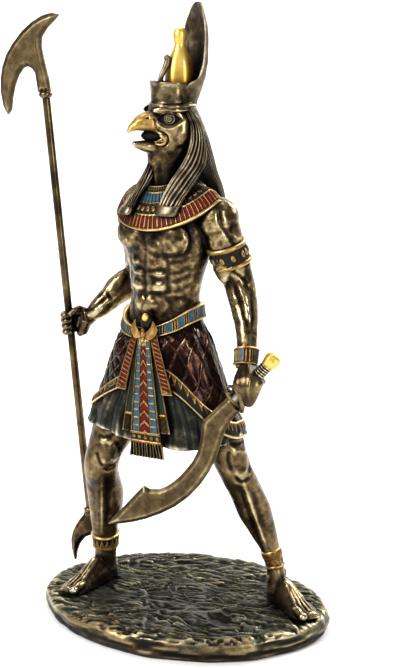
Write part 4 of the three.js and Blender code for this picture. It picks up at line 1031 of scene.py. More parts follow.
# Trims hold their path, how far they stand out, and their radii by shares of their run.
lipLine = (
    [(-8.2, 229.9), (-5.4, 229.5), (-3.2, 228.6), (-1.9, 227.4), (-2.1, 225.6), (-3.8, 224.7), (-6.6, 225.0)],
    0.15, [0, 0.15, 0.6, 1], [0.5, 0.85, 0.8, 0.4],
)
lidLines = [
    ([(-6.4, 235.9), (-3.6, 238.7), (0, 239.7), (3.4, 238.6), (6.6, 235.6)], 0.1, [0, 0.5, 1], [0.25, 0.5, 0.25]),
    ([(-6.4, 235.9), (-3.2, 233.7), (0, 233.1), (3.4, 234.0), (6.6, 235.6)], 0.05, [0, 0.5, 1], [0.22, 0.4, 0.22]),
]
cheekLook = 58  # degrees from the head's front at which its eyes and the edge of its beak are drawn


def cheekAcross(side, back):
    # the place across as seen from that angle, the same for both cheeks
    return 0.53 * np.abs(side) + 0.848 * back


def almond(across, height):
    # 1 inside the eye's hollow, falling to 0 over its rim
    return smoothStep(1 - np.abs((across - 0.1) / 5.8) ** 1.6 - np.abs((height - 236.5) / 3.0) ** 1.7, 0, 0.3)


def onBeak(points):
    side, back, height = head.read(points)
    edge = np.interp(height, [228, 232, 235.6, 238.5, 241], [-5.0, -5.7, -6.5, -7.8, -9.2])
    return (cheekAcross(side, back) < edge) & (height > 227.6) & (height < 241)


def inMouth(points):
    side, back, height = head.read(points)
    forward = -back
    roof = np.interp(forward, mouthGap[:, 0], mouthGap[:, 3]) - 0.3
    floor = np.interp(forward, mouthGap[:, 0], mouthGap[:, 2]) + 0.3
    inner = np.interp(forward, [6, 8.5, 12, 15.2, 18, 20], [5.8, 5.8, 4.8, 3.6, 2.4, 1.0])
    return (forward > 6.3) & (height < roof + 0.9) & (height > floor - 0.9) & (np.abs(side) < inner)


def inEyeHollow(points):
    side, back, height = head.read(points)
    return (np.abs(side) > 3) & (almond(cheekAcross(side, back), height) > 0.6)


def headForms():
    forms = [limb(placedRows(head, neckAndSkull), 64, 80, upright=True),
             forwardLoft(upperBeak, 0.8), forwardLoft(lowerBeak)]
    for side, browWide in ((1, 1.6), (-1, 2.2)):
        brow = head.place(side * 5.6, -12.2, 240.2), head.place(side * 10.2, -1.5, 240.4)
        jaw = head.place(side * 9.4, 2.4, 238), head.place(side * 8.2, 1.0, 222)
        forms += [egg(*brow, browWide, 1.3, 45, 0), egg(*jaw, 3.0, 4.6, 45, 0)]
    return forms


def carveCheek(piece, side):
    strokes(piece, head, cheekLook * side, [(mirrored(path, side), width, depth) for path, width, depth in cheekLines])
    points, normals = pointsOf(piece), normalsOf(piece)
    across, height, facing = viewed(head, cheekLook * side, points, normals)
    movePoints(piece, points - normals * (0.6 * almond(side * across, height) * facing)[:, None])


def paintShadeUnderJawAndCrown(piece):
    # painted shade: the neck below the jaw and the brow below the crown are made darker than the cheek
    height = head.read(pointsOf(piece))[2]
    layer = piece.data.attributes["relief"].data
    share = np.empty(len(height), np.float32)
    layer.foreach_get("value", share)
    share -= 0.17 * smoothStep(-height, -226, -219) + 0.1 * smoothStep(height, 238, 240)
    layer.foreach_set("value", np.clip(share, 0, 1).astype(np.float32))


def buildHead():
    piece = fused("falconHead", headForms(), 0.42, 3)
    cutAway(piece, forwardLoft(mouthGap, 0.6))
    soften = piece.modifiers.new("regrow", "REMESH")
    soften.mode, soften.voxel_size = "VOXEL", 0.36 * mm
    relax = piece.modifiers.new("relax", "SMOOTH")
    relax.factor, relax.iterations = 0.5, 2
    applied(piece)
    for side in (1, -1):
        carveCheek(piece, side)
    worked(piece, 0.1, 3.4, 85)
    reliefMap(piece, 0.38, (4, 16))
    # painted shade below the jaw and below the crown
    paintShadeUnderJawAndCrown(piece)
    for finish in (faceBronzePaintedHighlight, beakGold, mouthPaintedShade):
        piece.data.materials.append(finish)
    facesWhere(piece, onBeak, 1)
    # the mouth and the eyes' hollows take the near-black painted shade
    facesWhere(piece, inMouth, 2)
    facesWhere(piece, inEyeHollow, 2)
    lighten(piece, 50000)
    standing(piece)
    # a dark filling behind the open mouth, coloured as painted shade
    dressed(meshObject("mouthShadeFill", *forwardLoft(mouthFill, 1.0, 24, 20)), 0.6, (2, 4), mouthPaintedShade)
    return treeOf(piece)


def laidTube(tree, side, path, lift, shares, radii):
    # a tapering trim along a drawn line of the cheek
    line = laidOn(tree, head, cheekLook * side, mirrored(path, side), lift)
    return tube(line, np.interp(np.linspace(0, 1, len(line)), shares, radii), 12)


def eyeForms(tree, side):
    # the eyeball, the ring round it and the spiral raised on it
    look = cheekLook * side
    middle = laidOn(tree, head, look, [(side * 0.2, 236.6), (side * 0.3, 236.6)])[0]
    c, s = cos(radians(look)), sin(radians(look))
    out = unit(head.place(60 * s, -60 * c, 0) - head.place(0, 0, 0))
    right = unit(np.cross([0, 0, 1.0], out))
    up = np.cross(out, right)
    circle = lambda angle: np.cos(angle)[:, None] * right + np.sin(angle)[:, None] * up
    heart = middle - 0.7 * out
    rise = np.linspace(-0.98, 0.98, 19) * tau / 4
    ring = circle(roundAngles(30))
    ball = skin(heart + np.sin(rise)[:, None, None] * out * 1.6 + np.cos(rise)[:, None, None] * ring * 2.5)
    edge = loopTube(heart + 0.8 * out + 2.25 * circle(roundAngles(40)), 0.26)
    swirl = np.linspace(0, 1, 60)
    radius = 1.7 * (1 - swirl[:, None]) ** 0.85
    raised = heart + 1.62 * np.sqrt(1 - (radius / 2.6) ** 2) * out
    return ball, edge, tube(raised + radius * circle(swirl * tau * 1.6 + 0.8), 0.29, 10)


def buildFaceTrims(tree):
    lips, lids, spirals, eyes = [], [], [], []
    for side in (1, -1):
        lips.append(laidTube(tree, side, *lipLine))
        lids += [laidTube(tree, side, *line) for line in lidLines]
        ball, edge, spiral = eyeForms(tree, side)
        eyes.append(ball)
        spirals += [edge, spiral]
    for name, parts, finish in (("beakLips", lips, beakGold), ("eyelids", lids, agedBronze),
                                ("eyeSpirals", spirals, paleBronze), ("eyeballs", eyes, blackEnamel)):
        dressed(meshObject(name, *merged(parts)), 0.6, (2, 4), finish)


def loopTube(points, radius, sides=10):
    # a round tube whose ends meet
    points = np.asarray(points, float)
    way = unit(np.roll(points, -1, 0) - np.roll(points, 1, 0))
    out = unit(points - points.mean(0))
    lift = np.cross(way, out)
    angle = roundAngles(sides)[:, None]
    rings = np.array([p + radius * (np.cos(angle) * o + np.sin(angle) * l) for p, o, l in zip(points, out, lift)])
    count, around = rings.shape[:2]
    index = np.arange(count * around).reshape(count, around)
    following, onward = np.roll(index, -1, 0), np.roll(index, -1, 1)
    faces = np.stack([index, onward, np.roll(following, -1, 1), following], -1).reshape(-1, 4)
    return rings.reshape(-1, 3), faces.tolist()


# The face is polished by hand: bright bronze with black only in its creases. Its colours are set lighter than the
# body's bronze, so it also carries painted highlight.
faceBronzePaintedHighlight = castFinish("cold-cast bronze, hand polished", {
    "colours": [(0.0, "#060403"), (0.3, "#1a120a"), (0.43, "#4d3c26"), (0.54, "#8b7650"), (0.7, "#cbb98d"),
                (0.88, "#f2e9cc")],
    "mottle": 0.3, "rough": (0.36, 0.17),
})
# Fine raised lines are rubbed almost bare, so they stay pale against the wash.
paleBronze = castFinish("cold-cast bronze, ridges rubbed bare", {
    "colours": [(0.0, "#1c150d"), (0.3, "#54482f"), (0.55, "#8c7e62"), (0.85, "#c2b698")],
    "mottleSize": 3, "mottle": 0.18, "grainSize": 0.5, "rough": (0.42, 0.28), "metal": 0.85, "bump": 0.15, "shade": 3,
})
# Painted shade: the open mouth, the filling behind it and the eyes' hollows are coloured near black.
mouthPaintedShade = castFinish("cold-cast bronze, pooled wash", {
    "colours": [(0.0, "#060403"), (0.6, "#15100a"), (0.9, "#5a4a33")],
    "mottleSize": 4, "mottle": 0.1, "grainSize": 0.7, "speckle": 0.06,
    "rough": (0.9, 0.7), "metal": 0.3, "bump": 0.2, "gleam": 0.1,
})
buildFaceTrims(buildHead())
print("head turned")


# Striped headcloth

hoodRows = np.array([
    [0, 17.5, 189, 10.5, 14.5, 2.5, 6.6, 25], [0, 17.2, 197, 11.5, 16.5, 2.4, 7.8, 30],
    [0, 16.4, 204, 11.8, 16.6, 2.2, 7.2, 37], [0, 14.9, 211, 12.0, 15.4, 2.2, 6.1, 43],
    [0, 12.2, 219, 12.8, 14.6, 3.0, 6.6, 45], [0, 9.4, 227, 13.6, 13.6, 3.4, 6.8, 45],
    [0, 7.0, 235, 12.4, 12.4, 3.2, 6.4, 45], [0, 4.2, 243, 9.6, 9.6, 3.4, 5.6, 45],
])
nearLappet = np.array([
    [-1.4, -21.8, 193.5, 4.8, 4.8, 2.2, 2.4, 8], [1.2, -19.8, 201, 5.3, 5.3, 2.0, 3.0, 2],
    [4.9, -15.4, 209, 5.7, 5.7, 2.0, 3.8, -12], [8.4, -10.2, 217, 5.2, 5.2, 2.2, 4.6, -28],
    [8.9, -6.6, 225, 3.7, 3.7, 2.4, 5.0, -42], [7.4, -4.9, 233, 2.5, 2.5, 2.2, 4.8, -45],
    [3.6, -4.6, 240.5, 1.9, 1.9, 1.8, 3.6, -45],
])
farLappet = np.array([
    [-24.2, -15.4, 192.5, 4.7, 4.7, 2.2, 2.4, 48], [-21.4, -13.2, 200, 4.9, 4.9, 2.0, 3.0, 56],
    [-17.0, -9.2, 208, 5.0, 5.0, 2.0, 3.6, 70], [-13.8, -4.6, 216, 4.6, 4.6, 2.2, 4.2, 88],
    [-12.6, -0.2, 224, 4.2, 4.2, 2.2, 4.4, 110], [-11.6, 2.6, 233, 3.4, 3.4, 2.0, 4.4, 130],
])


def ridges(count, depth, gap=0.13):
    # flat raised stripes with narrow dark grooves between, each stripe with its own height
    def relief(angle, share):
        place = count * angle / tau + 0.12 * np.sin(3 * angle + 5 * share)
        groove = np.exp(-((((place % 1.0) - 0.5) / gap) ** 2))
        crown = np.exp(-((((place + 0.5) % 1.0 - 0.5) / 0.2) ** 2))
        return depth * (0.35 * crown - 1.0 * groove + 0.12 * np.cos(np.floor(place) * 2.4)) + 0 * share
    return relief


def buildHeadcloth():
    hood = meshObject("headclothHood", *limb(placedRows(head, hoodRows), 280, 60, 0, 1, ridges(40, 0.62), upright=True))
    pieces = [hood]
    for name, rows in (("nearLappet", nearLappet), ("farLappet", farLappet)):
        pieces.append(meshObject(name, *limb(rows, 150, 70, 0.06, 1, ridges(15, 0.7, 0.22), upright=True)))
        swell = lambda a, s: 0.55 + 0.35 * np.cos(tau / 4 * (s - 0.05) / 0.055)
        pieces.append(meshObject(name + "Cap", *limb(rows, 80, 16, 0, 0.105, swell, upright=True)))
    for piece in pieces:
        dressed(piece, 0.3, (2, 6), silverBronze if piece is hood else darkBronze)


# The headcloth's stripes are buffed to a greyer, silvery bronze over the same wash.
silverBronze = castFinish("cold-cast bronze, buffed silvery", {
    "colours": [(0.0, "#060504"), (0.3, "#1d1812"), (0.43, "#4c4337"), (0.58, "#7f7665"), (0.78, "#b0a791"),
                (0.94, "#d9d2c0")],
    "mottle": 0.2, "grainSize": 0.7, "rough": (0.44, 0.26), "metal": 0.88, "bump": 0.2, "shade": 6,
})
buildHeadcloth()
print("headcloth hung")


# Double crown

# Rows hold the height, the way back to the arc's middle, its radius and its half angle in degrees.
plateRows = np.array([
    [240.8, 1.4, 10.4, 90], [243.6, 2.2, 9.9, 92], [247, 3.0, 10.3, 94], [250.4, 3.8, 10.8, 95], [252.6, 4.0, 11.3, 88],
    [254.8, 3.7, 12.2, 68], [258, 3.2, 13.2, 59], [263, 2.7, 14.3, 53], [271, 2.2, 15.0, 50],
    [278, 1.2, 15.5, 46], [284, 2.8, 12.6, 38], [287.5, 2.2, 12.0, 22], [288.9, 2.0, 12.0, 8],
])
cupOutside = [(10.0, 239.4), (11.2, 239.8), (11.6, 240.6), (11.2, 241.4), (11.4, 241.8), (11.6, 242.4), (11.2, 243.0),
              (10.5, 243.6), (10.3, 245), (10.3, 248), (10.4, 250.4), (10.6, 251.6), (10.8, 252.2), (10.8, 252.7),
              (10.4, 252.9), (9.8, 252.6), (9.0, 251.8), (4.0, 251.4)]
bulbProfile = [
    (0.6, 250), (6.9, 250), (7.0, 251.5), (6.9, 254), (6.65, 256.5), (6.3, 259), (5.85, 261), (5.3, 263), (4.5, 265),
    (3.65, 266.8), (2.95, 268.4), (2.6, 269.6), (2.6, 270.4), (2.85, 271.6), (3.1, 273), (3.15, 274.2), (2.95, 275.6),
    (2.3, 276.8), (1.4, 277.5), (0.6, 277.8),
]


def lathe(profile, centre, sides):
    row = through(profile, np.linspace(0, 1, 3 * (len(profile) - 1) + 1))
    angle = roundAngles(sides)
    side = row[:, :1] * np.cos(angle)
    back = row[:, :1] * np.sin(angle)
    return skin(head.place(centre[0] + side, centre[1] + back, row[:, 1:2] + 0 * side))


def buildCrown():
    fine = through(cupOutside, np.linspace(0, 1, 70))
    angle = roundAngles(110)
    swell = smoothStep(fine[:, 1:2], 243.6, 252.4) * smoothStep(np.sin(angle)[None], 0.2, 1.0)
    side = fine[:, :1] * np.cos(angle)
    back = fine[:, :1] * (0.99 + 0.13 * swell) * np.sin(angle) + 0.1
    tilt = -0.5 * np.sin(angle)[None] * smoothStep(fine[:, 1:2], 244, 251)
    cup = meshObject("crownCup", *skin(head.place(side, back, fine[:, 1:2] + tilt)))

    # a tall hollow leaf, its rim rolled forward
    share = np.linspace(0, 1, 110)
    plate = through(plateRows, share)
    angle = np.linspace(-1, 1, 40)
    rings = []
    for height, backTo, radius, half in plate:
        bearing = np.radians(half) * angle
        lip = 0.15 * smoothStep(height, 251, 256) * smoothStep(np.abs(angle), 0.86, 1.0)
        lip = lip - 1.4 * (1 - smoothStep(height, 248.5, 254)) * smoothStep(np.abs(angle), 0.5, 0.95)
        outside = head.place((radius + lip) * np.sin(bearing), backTo + (radius + lip) * np.cos(bearing), height)
        inner = radius - 1.5 + 0.8 * smoothStep(np.abs(angle), 0.7, 1.0) + np.minimum(lip, 0)
        inside = head.place(inner * np.sin(bearing), backTo + inner * np.cos(bearing), height)
        rings.append(np.concatenate([outside[::-1], inside]))
    leaf = meshObject("crownPlate", *skin(np.array(rings)))

    bulb = meshObject("gildedBulb", *lathe(bulbProfile, (0, 4.1), 72))
    points = pointsOf(bulb)
    side, back, height = head.read(points)
    flute = np.cos(6 * np.arctan2(back - 4.1, side)) * 0.2 * smoothStep(height, 250.5,
                                                                        254) * smoothStep(-height, -268, -262)
    movePoints(bulb, points + normalsOf(bulb) * flute[:, None])

    body = through([(1.4, -5.0, 250.8), (1.4, -6.2, 252.4), (1.3, -6.0, 255.4), (1.2, -4.4, 258.4), (1.1, -2.9, 261.4),
                    (1.0, -2.6, 263.4), (1.0, -3.9, 264.6)], np.linspace(0, 1, 34))
    girth = np.interp(np.linspace(0, 1, 34), [0, 0.3, 0.5, 0.7, 0.85, 0.95, 1], [1.2, 1.25, 1.4, 1.65, 1.5, 1.4, 0.8])
    cobra = meshObject("crownCobra", *tube(head.place(*body.T), girth, 16))

    for piece, finish, scale in ((cup, glossBronze, 0.5), (leaf, matBronze, 0.7), (bulb, brightGold, 0.8),
                                 (cobra, darkBronze, 3.0)):
        if piece in (cup, leaf):
            worked(piece, 0.2, 3.6, 86)
        dressed(piece, scale, (3, 10), finish)


# The crown's cup is handled most, so its high places are polished while the wash stays black beside them.
glossBronze = castFinish("cold-cast bronze, polished over wash", {
    "colours": [(0.0, "#070503"), (0.33, "#1a130b"), (0.47, "#4a3c27"), (0.6, "#7f6f4f"), (0.78, "#b9aa85"),
                (0.93, "#e8dfc6")],
    "mottle": 0.5, "rough": (0.36, 0.16),
})
# The crown's leaf is left dull, with the wash hardly rubbed off it.
matBronze = castFinish("cold-cast bronze, dull wash", {
    "colours": [(0.0, "#070503"), (0.3, "#16110b"), (0.5, "#3d3225"), (0.68, "#6f6149"), (0.9, "#ada085")],
    "mottle": 0.28, "rough": (0.6, 0.42), "metal": 0.85,
})
buildCrown()
print("crown set")


# Broad collar

# Rows hold half width, front, back, then the height at the side, the front and the back.
collarRows = np.array([
    [31.6, 19.2, 20.0, 200.2, 185.8, 188.0], [25.6, 17.0, 18.4, 205.0, 193.0, 196.0],
    [16.5, 13.6, 15.0, 206.8, 199.6, 202.5], [10.6, 10.8, 12.4, 208.0, 205.4, 207.0],
])


def collarSurface(u, v):
    angle = tau * u
    half, front, back, atSide, atFront, atBack = np.moveaxis(through(collarRows, v), -1, 0)
    c, s = np.cos(angle), np.sin(angle)
    # the right shoulder is drawn back and down by the raised staff
    far = np.clip(-c, 0, 1) ** 0.5 * (1 - v)
    half, atSide = half * (1 - 0.15 * far), atSide - 4.6 * far
    share = np.abs(s) ** 1.3
    height = atSide + (np.where(s > 0, atBack, atFront) - atSide) * share
    return chest.place(half * c, np.where(s > 0, back, front) * s, height)


# Bands of the collar from its outer edge in: where each ends, what it is, and how many marks run round it.
collarBands = [
    (0.07, "gold", 0), (0.31, "spokes", 74), (0.345, "gold", 0), (0.565, "dots", 44), (0.60, "gold", 0),
    (0.80, "cells", 52), (0.83, "gold", 0), (0.97, "small", 60), (1.01, "gold", 0),
]


def collarPattern(u, v):
    # the relief and the finish of the collar at a place: 0 gold, 1 red, 2 turquoise, 3 black, 4 bronze
    lift, finish = np.full(u.shape, 0.35), np.zeros(u.shape, int)
    low = 0.0
    for high, kind, count in collarBands:
        here = (v >= low) & (v < high)
        across = (v - low) / (high - low)
        phase = (u * count) % 1.0
        if kind == "spokes":
            spoke = phase < 0.18
            lift = np.where(here, np.where(spoke, 0.22, -0.12), lift)
            finish = np.where(here, np.where(spoke, 0, 1), finish)
        elif kind == "dots":
            dot = (((phase - 0.5) / 0.32) ** 2 + ((across - 0.5) / 0.3) ** 2) < 1
            lift = np.where(here, np.where(dot, 0.3, -0.15), lift)
            finish = np.where(here, np.where(dot, 0, 3), finish)
        elif kind == "cells":
            bar = phase < 0.26
            lift = np.where(here, np.where(bar, -0.2, 0.1), lift)
            finish = np.where(here, np.where(bar, 3, 2), finish)
        elif kind == "small":
            bar = phase < 0.5
            lift = np.where(here, np.where(bar, 0.12, -0.12), lift)
            finish = np.where(here, np.where(bar, 4, 3), finish)
        low = high
    return lift, finish


def buildCollar():
    collarFinishes = (trimGold, redEnamel, turquoiseEnamel, blackEnamel, rubbedBronze)
    piece = strip("broadCollar", collarSurface, (620, 40), collarPattern, collarFinishes, 2.2)
    standing(reliefMap(piece, 0.3, (1, 3)))


buildCollar()
print("collar laid")


# Bands on the arms, wrists and ankles

def bandPiece(name, rows, start, stop, size, pattern, finishes, raise_=0.75):
    surface = lambda u, v: limbSkin(rows, tau * u, start + (stop - start) * v, raise_)
    return standing(reliefMap(strip(name, surface, size, pattern, finishes, 1.6), 0.3, (1, 4)))


def rolled(v, low, high):
    # a half-round rim between two shares of the band
    across = np.clip((v - low) / (high - low), 0, 1)
    return 0.55 * np.sqrt(np.clip(1 - (2 * across - 1) ** 2, 0, 1))


def studdedBand(u, v):
    edge = (v < 0.2) | (v > 0.8)
    phase = (u * 10.5 + 0.3) % 1.0
    radius = ((phase - 0.5) / 0.2) ** 2 + ((v - 0.5) / 0.15) ** 2
    stud = (radius < 1) & ~edge
    grit = 0.14 * np.sign(chance(u * 190, v * 26, 0, 41))
    lift = np.where(edge, rolled(v, 0, 0.2) + rolled(v, 0.8, 1.0), -0.2 + grit)
    lift = np.where(stud, 0.5 * np.sqrt(np.clip(1 - radius, 0, 1)) + 0.05, lift)
    return lift, np.where(edge | stud, 0, 1)


def barredBand(u, v):
    edge = (v < 0.13) | (v > 0.87)
    phase = (u * 4.5 + 0.02) % 1.0
    blue = (phase > 0.36) & (phase < 0.6)
    gold = ((phase > 0.3) & (phase <= 0.36)) | ((phase >= 0.6) & (phase < 0.66))
    gold = gold | ((phase > 0.76) & (phase < 0.83)) | (phase < 0.07) | ((phase > 0.15) & (phase < 0.21))
    red = (phase >= 0.83) & (phase < 0.93)
    finish = np.where(edge | gold, 0, np.where(blue, 2, np.where(red, 3, 1)))
    lift = np.where(edge, rolled(v, 0, 0.13) + rolled(v, 0.87, 1.0), np.where(gold, 0.3, np.where(blue, 0.15, -0.15)))
    return lift, finish


def toothedBand(u, v):
    edge = (v < 0.24) | (v > 0.8)
    phase = (u * 15) % 1.0
    tooth = np.abs(phase - 0.5) * 2 < (0.8 - v) / 0.56
    lift = np.where(edge, rolled(v, 0, 0.24) + rolled(v, 0.8, 1.0), np.where(tooth, 0.25, -0.2))
    return lift, np.where(edge | tooth, 0, 1)


def cuffedBand(u, v):
    # a wide plain cuff over a dark band with small teeth, and a thin rim below
    edge = (v < 0.17) | (v > 0.52)
    phase = (u * 13) % 1.0
    tooth = np.abs(phase - 0.5) * 2 < (v - 0.2) / 0.32
    rim = rolled(v, 0, 0.17) + rolled(v, 0.52, 1.0)
    return np.where(edge, rim, np.where(tooth, 0.2, -0.25)), np.where(edge | tooth, 0, 1)


bandFinishes = (trimGold, blackEnamel, turquoiseEnamel, redEnamel)
bandPiece("armbandLeft", leftArm, 0.668, 0.812, (220, 24), studdedBand, bandFinishes)
bandPiece("braceletLeft", leftArm, 0.03, 0.15, (200, 24), barredBand, bandFinishes, 0.95)
bandPiece("ankletRight", rightLeg, 0.168, 0.246, (210, 22), toothedBand, bandFinishes, 0.6)
bandPiece("ankletLeft", leftLeg, 0.168, 0.264, (210, 22), cuffedBand, bandFinishes, 0.1)
print("bands closed")


# Kilt: pleated skirt, quilted wrap, belt and apron

# Rows hold the height, the half width, the front and the back.
kiltRows = np.array([
    [80, 41.2, 23.2, 23.0], [90, 39.4, 22.6, 22.8], [100, 36.0, 21.6, 22.2], [110, 31.8, 20.2, 21.2],
    [120, 28.0, 18.6, 20.0], [130, 24.0, 16.8, 18.0], [140, 20.3, 14.6, 14.4], [150, 19.0, 13.4, 12.4],
])
# Heights every 30 degrees round the pelvis, starting at the figure's left, then its back.
skirtHems = [86.3, 86.5, 86, 86, 86, 87, 87.5, 87.5, 87.5, 84.5, 83.4, 85.4, 86.3]
wrapHems = [87.5, 86.8, 88, 89, 89, 90, 93, 97.5, 107.5, 116, 110.5, 94.5, 87.5]
wrapHemTall = [7.6, 7, 6, 6, 5.5, 5, 4.5, 4.6, 6.3, 7.4, 9.2, 8.6, 7.6]
beltHeights = [146.6, 146, 144.5, 143.5, 143.2, 143.4, 143, 139.4, 136.8, 136.8, 140.3, 144.8, 146.6]


def kiltPoint(angle, height, extra=0.0):
    # squarer toward the hem, where the thighs fill it
    reach = through(kiltRows, (height - 80) / 70)
    square = squareness(height)
    c, s = np.cos(angle), np.sin(angle)
    side = (reach[..., 1] + extra) * np.sign(c) * np.abs(c) ** square
    back = (np.where(s > 0, reach[..., 3], reach[..., 2]) + extra) * np.sign(s) * np.abs(s) ** square
    return pelvis.place(side, back, height)


def squareness(height):
    return 0.8 + 0.2 * smoothStep(height, 88, 116)


def around(heights, angle):
    return through(heights, (angle / tau) % 1.0)


def beltHeight(angle):
    return around(beltHeights, angle)


def wrapHem(angle):
    return around(wrapHems, angle)


def pleat(u, v):
    # soft pressed folds that gather toward the top, with finer streaks between
    angle = tau * u
    wander = 0.5 * chance(u * 26, v * 2.2, 0, 51)
    fold = np.cos(17 * angle + wander * 3.4)
    fine = chance(u * 110 + wander, v * 1.6, 0, 52)
    fade = 1 - 0.45 * v
    flare = -0.35 * smoothStep(-v, -0.06, 0)
    return fade * (0.85 * np.sign(fold) * np.abs(fold) ** 0.8 + 0.65 * fine) + flare


def skirtSurface(u, v):
    angle = tau * u
    low, high = around(skirtHems, angle), wrapHem(angle) + 6
    return kiltPoint(angle, low + (high - low) * v)


def wrapSurface(u, v):
    # a millimetre proud of the kilt's form, and drawn in under the belt
    angle = tau * u
    low, high = wrapHem(angle), beltHeight(angle)
    return kiltPoint(angle, low + (high - low) * v, 1.0 - smoothStep(v, 0.76, 0.95))


wrapLook = {
    "radius": 27, "spacing": (5.6, 6.2), "rise": (0.55, 0.6), "wander": 2.4,  # mm round the hips and between cords
    "folds": 1.3, "smallFolds": 0.6, "crinkle": 0.5,
}


def cordNet(u, v):
    # thin cords that cross the cloth, thick and knotted on the right hip, over long folds that crinkle at the belt
    angle = tau * u
    run = angle * wrapLook["radius"]
    height = wrapHem(angle) + (beltHeight(angle) - wrapHem(angle)) * v
    wander = wrapLook["wander"] * chance(u * 11, v * 3, 0, 61)
    (oneApart, twoApart), (oneRise, twoRise) = wrapLook["spacing"], wrapLook["rise"]
    line = lambda phase, width: np.exp(-(((phase % 1.0) - 0.5) / width) ** 2)
    one = (run * 0.62 + height * oneRise + wander) / oneApart
    two = (run * 0.72 - height * twoRise - wander) / twoApart
    hip = smoothStep(-np.cos(angle), -0.15, 0.45)
    cords = np.maximum((0.2 + 0.6 * hip) * line(one, 0.06), (0.3 + 0.5 * hip) * line(two, 0.055))
    hollow = 0.45 * hip * np.maximum(line(one, 0.24), line(two, 0.24))
    folds = wrapLook["folds"] * chance(u * 15 + v * 0.8, v * 1.1, 0, 63)
    folds += wrapLook["smallFolds"] * chance(u * 40 + v, v * 2.2, 0, 64)
    crinkle = smoothStep(v, 0.5, 0.95) * wrapLook["crinkle"] * layered(u * 60, v * 12, 0, 65, 2)
    fade = 1 - 0.85 * smoothStep(v, 0.78, 0.94)
    return (cords - hollow + folds + crinkle) * fade - 0.2


def hemBand(u, v):
    edge = (v < 0.12) | (v > 0.88)
    phase = (u * 70) % 1.0
    tooth = np.abs(phase - 0.5) * 2.3 < (v - 0.42) / 0.44
    lift = np.where(edge, 0.32, np.where(tooth, 0.18, -0.18))
    return lift, np.where(edge | tooth, 0, 1)


def beltPattern(u, v):
    edge = (v < 0.13) | (v > 0.87)
    phase = (u * 21) % 1.0
    blue = (phase > 0.22) & (phase < 0.74)
    gold = ((phase > 0.14) & (phase <= 0.22)) | ((phase >= 0.74) & (phase < 0.82)) | ((phase > 0.93) | (phase < 0.03))
    lift = np.where(edge, 0.42, np.where(blue, 0.12, np.where(gold, 0.3, -0.15)))
    return lift, np.where(edge | gold, 0, np.where(blue, 2, 1))


def buildKilt():
    skirt = strip("pleatedSkirt", skirtSurface, (500, 36), oneFinish(pleat), (greenBronze,), 1.4)
    wrap = strip("quiltedWrap", wrapSurface, (450, 84), oneFinish(cordNet), (plumBronze,), 1.6)

    def hemSurface(u, v):
        angle = tau * u
        low = wrapHem(angle)
        return kiltPoint(angle, low + around(wrapHemTall, angle) * v - 0.4, 1.6)

    def beltSurface(u, v):
        angle = tau * u
        half = 2.5 + 0.8 * smoothStep(np.cos(angle), 0.2, 0.9) + 0.5 * smoothStep(np.sin(angle), -0.3, 0.5)
        return kiltPoint(angle, beltHeight(angle) + half * (2 * v - 1), 1.4)

    hem = strip("wrapHemBand", hemSurface, (760, 14), hemBand, (trimGold, blackEnamel), 1.5)
    belt = strip("belt", beltSurface, (500, 22), beltPattern, (trimGold, blackEnamel, turquoiseEnamel), 2.6)
    for piece, reach, rounds in ((skirt, 0.5, (3, 9)), (wrap, 0.45, (3, 12)), (hem, 0.26, (1, 3)), (belt, 0.3, (1, 4))):
        standing(reliefMap(piece, reach, rounds))


buildKilt()
print("kilt wrapped")


def apronSurface(top, bottom, topSides, lowSides, raised):
    def surface(u, v):
        height = bottom + (top - bottom) * v
        right = lowSides[0] + (topSides[0] - lowSides[0]) * v
        left = lowSides[1] + (topSides[1] - lowSides[1]) * v
        side = right + (left - right) * u
        reach = through(kiltRows, (height - 80) / 70)
        half, front = reach[..., 1] + raised, reach[..., 2] + raised
        power = 2 / squareness(height)
        return pelvis.place(side, -front * (1 - np.abs(side / half) ** power) ** (1 / power), height)
    return surface


def centrePattern(u, v):
    # columns of blue cells on both sides of a red one with gold arrowheads, then a band of rosettes and a fringe
    across = np.abs(u - 0.5) * 2
    along = (1 - v) / 0.8
    cell = (along * 13) % 1.0
    lift, finish = np.full(u.shape, 0.3), np.zeros(u.shape, int)
    blue = (across > 0.44) & (across < 0.86) & (cell > 0.2)
    red = across < 0.34
    arrow = (along * 10 - across * 1.3) % 1.0
    chevron = red & (arrow > 0.72)
    finish = np.where(blue, 2, np.where(red & ~chevron, 3, 0))
    lift = np.where(blue, 0.1, np.where(red & ~chevron, -0.1, 0.3))
    dark = (across >= 0.86) & (across < 0.93) | (across >= 0.34) & (across < 0.385)
    finish, lift = np.where(dark, 1, finish), np.where(dark, -0.1, lift)
    band = (v > 0.125) & (v < 0.2)
    rim = ((v > 0.118) & (v < 0.137)) | ((v > 0.187) & (v < 0.206))
    flower = (((u * 5) % 1.0 - 0.5) / 0.3) ** 2 + ((v - 0.162) / 0.017) ** 2
    petals = flower < 0.75 + 0.35 * np.cos(6 * np.arctan2((v - 0.162) / 0.017, ((u * 5) % 1.0 - 0.5) / 0.3))
    finish = np.where(band, np.where(petals, 0, 1), finish)
    lift = np.where(band, np.where(petals, 0.22, -0.15), lift)
    finish, lift = np.where(rim, 0, finish), np.where(rim, 0.4, lift)
    tassel = v <= 0.118
    strand = np.cos(tau * 11 * u + 2.2 * chance(u * 7, v * 9, 0, 71))
    finish = np.where(tassel, np.where(strand > 0.2, 4, 5), finish)
    lift = np.where(tassel, 0.1 + 0.6 * strand + 0.3 * chance(u * 40, v * 14, 0, 72), lift)
    return lift, finish


def sashPattern(u, v):
    edge = (u < 0.12) | (u > 0.88) | (v < 0.045)
    stripe = ((v * 14 + u * 0.7) % 1.0) < 0.26
    lift = np.where(edge, 0.32, np.where(stripe, 0.15, -0.12))
    return lift, np.where(edge | stripe, 0, 3)


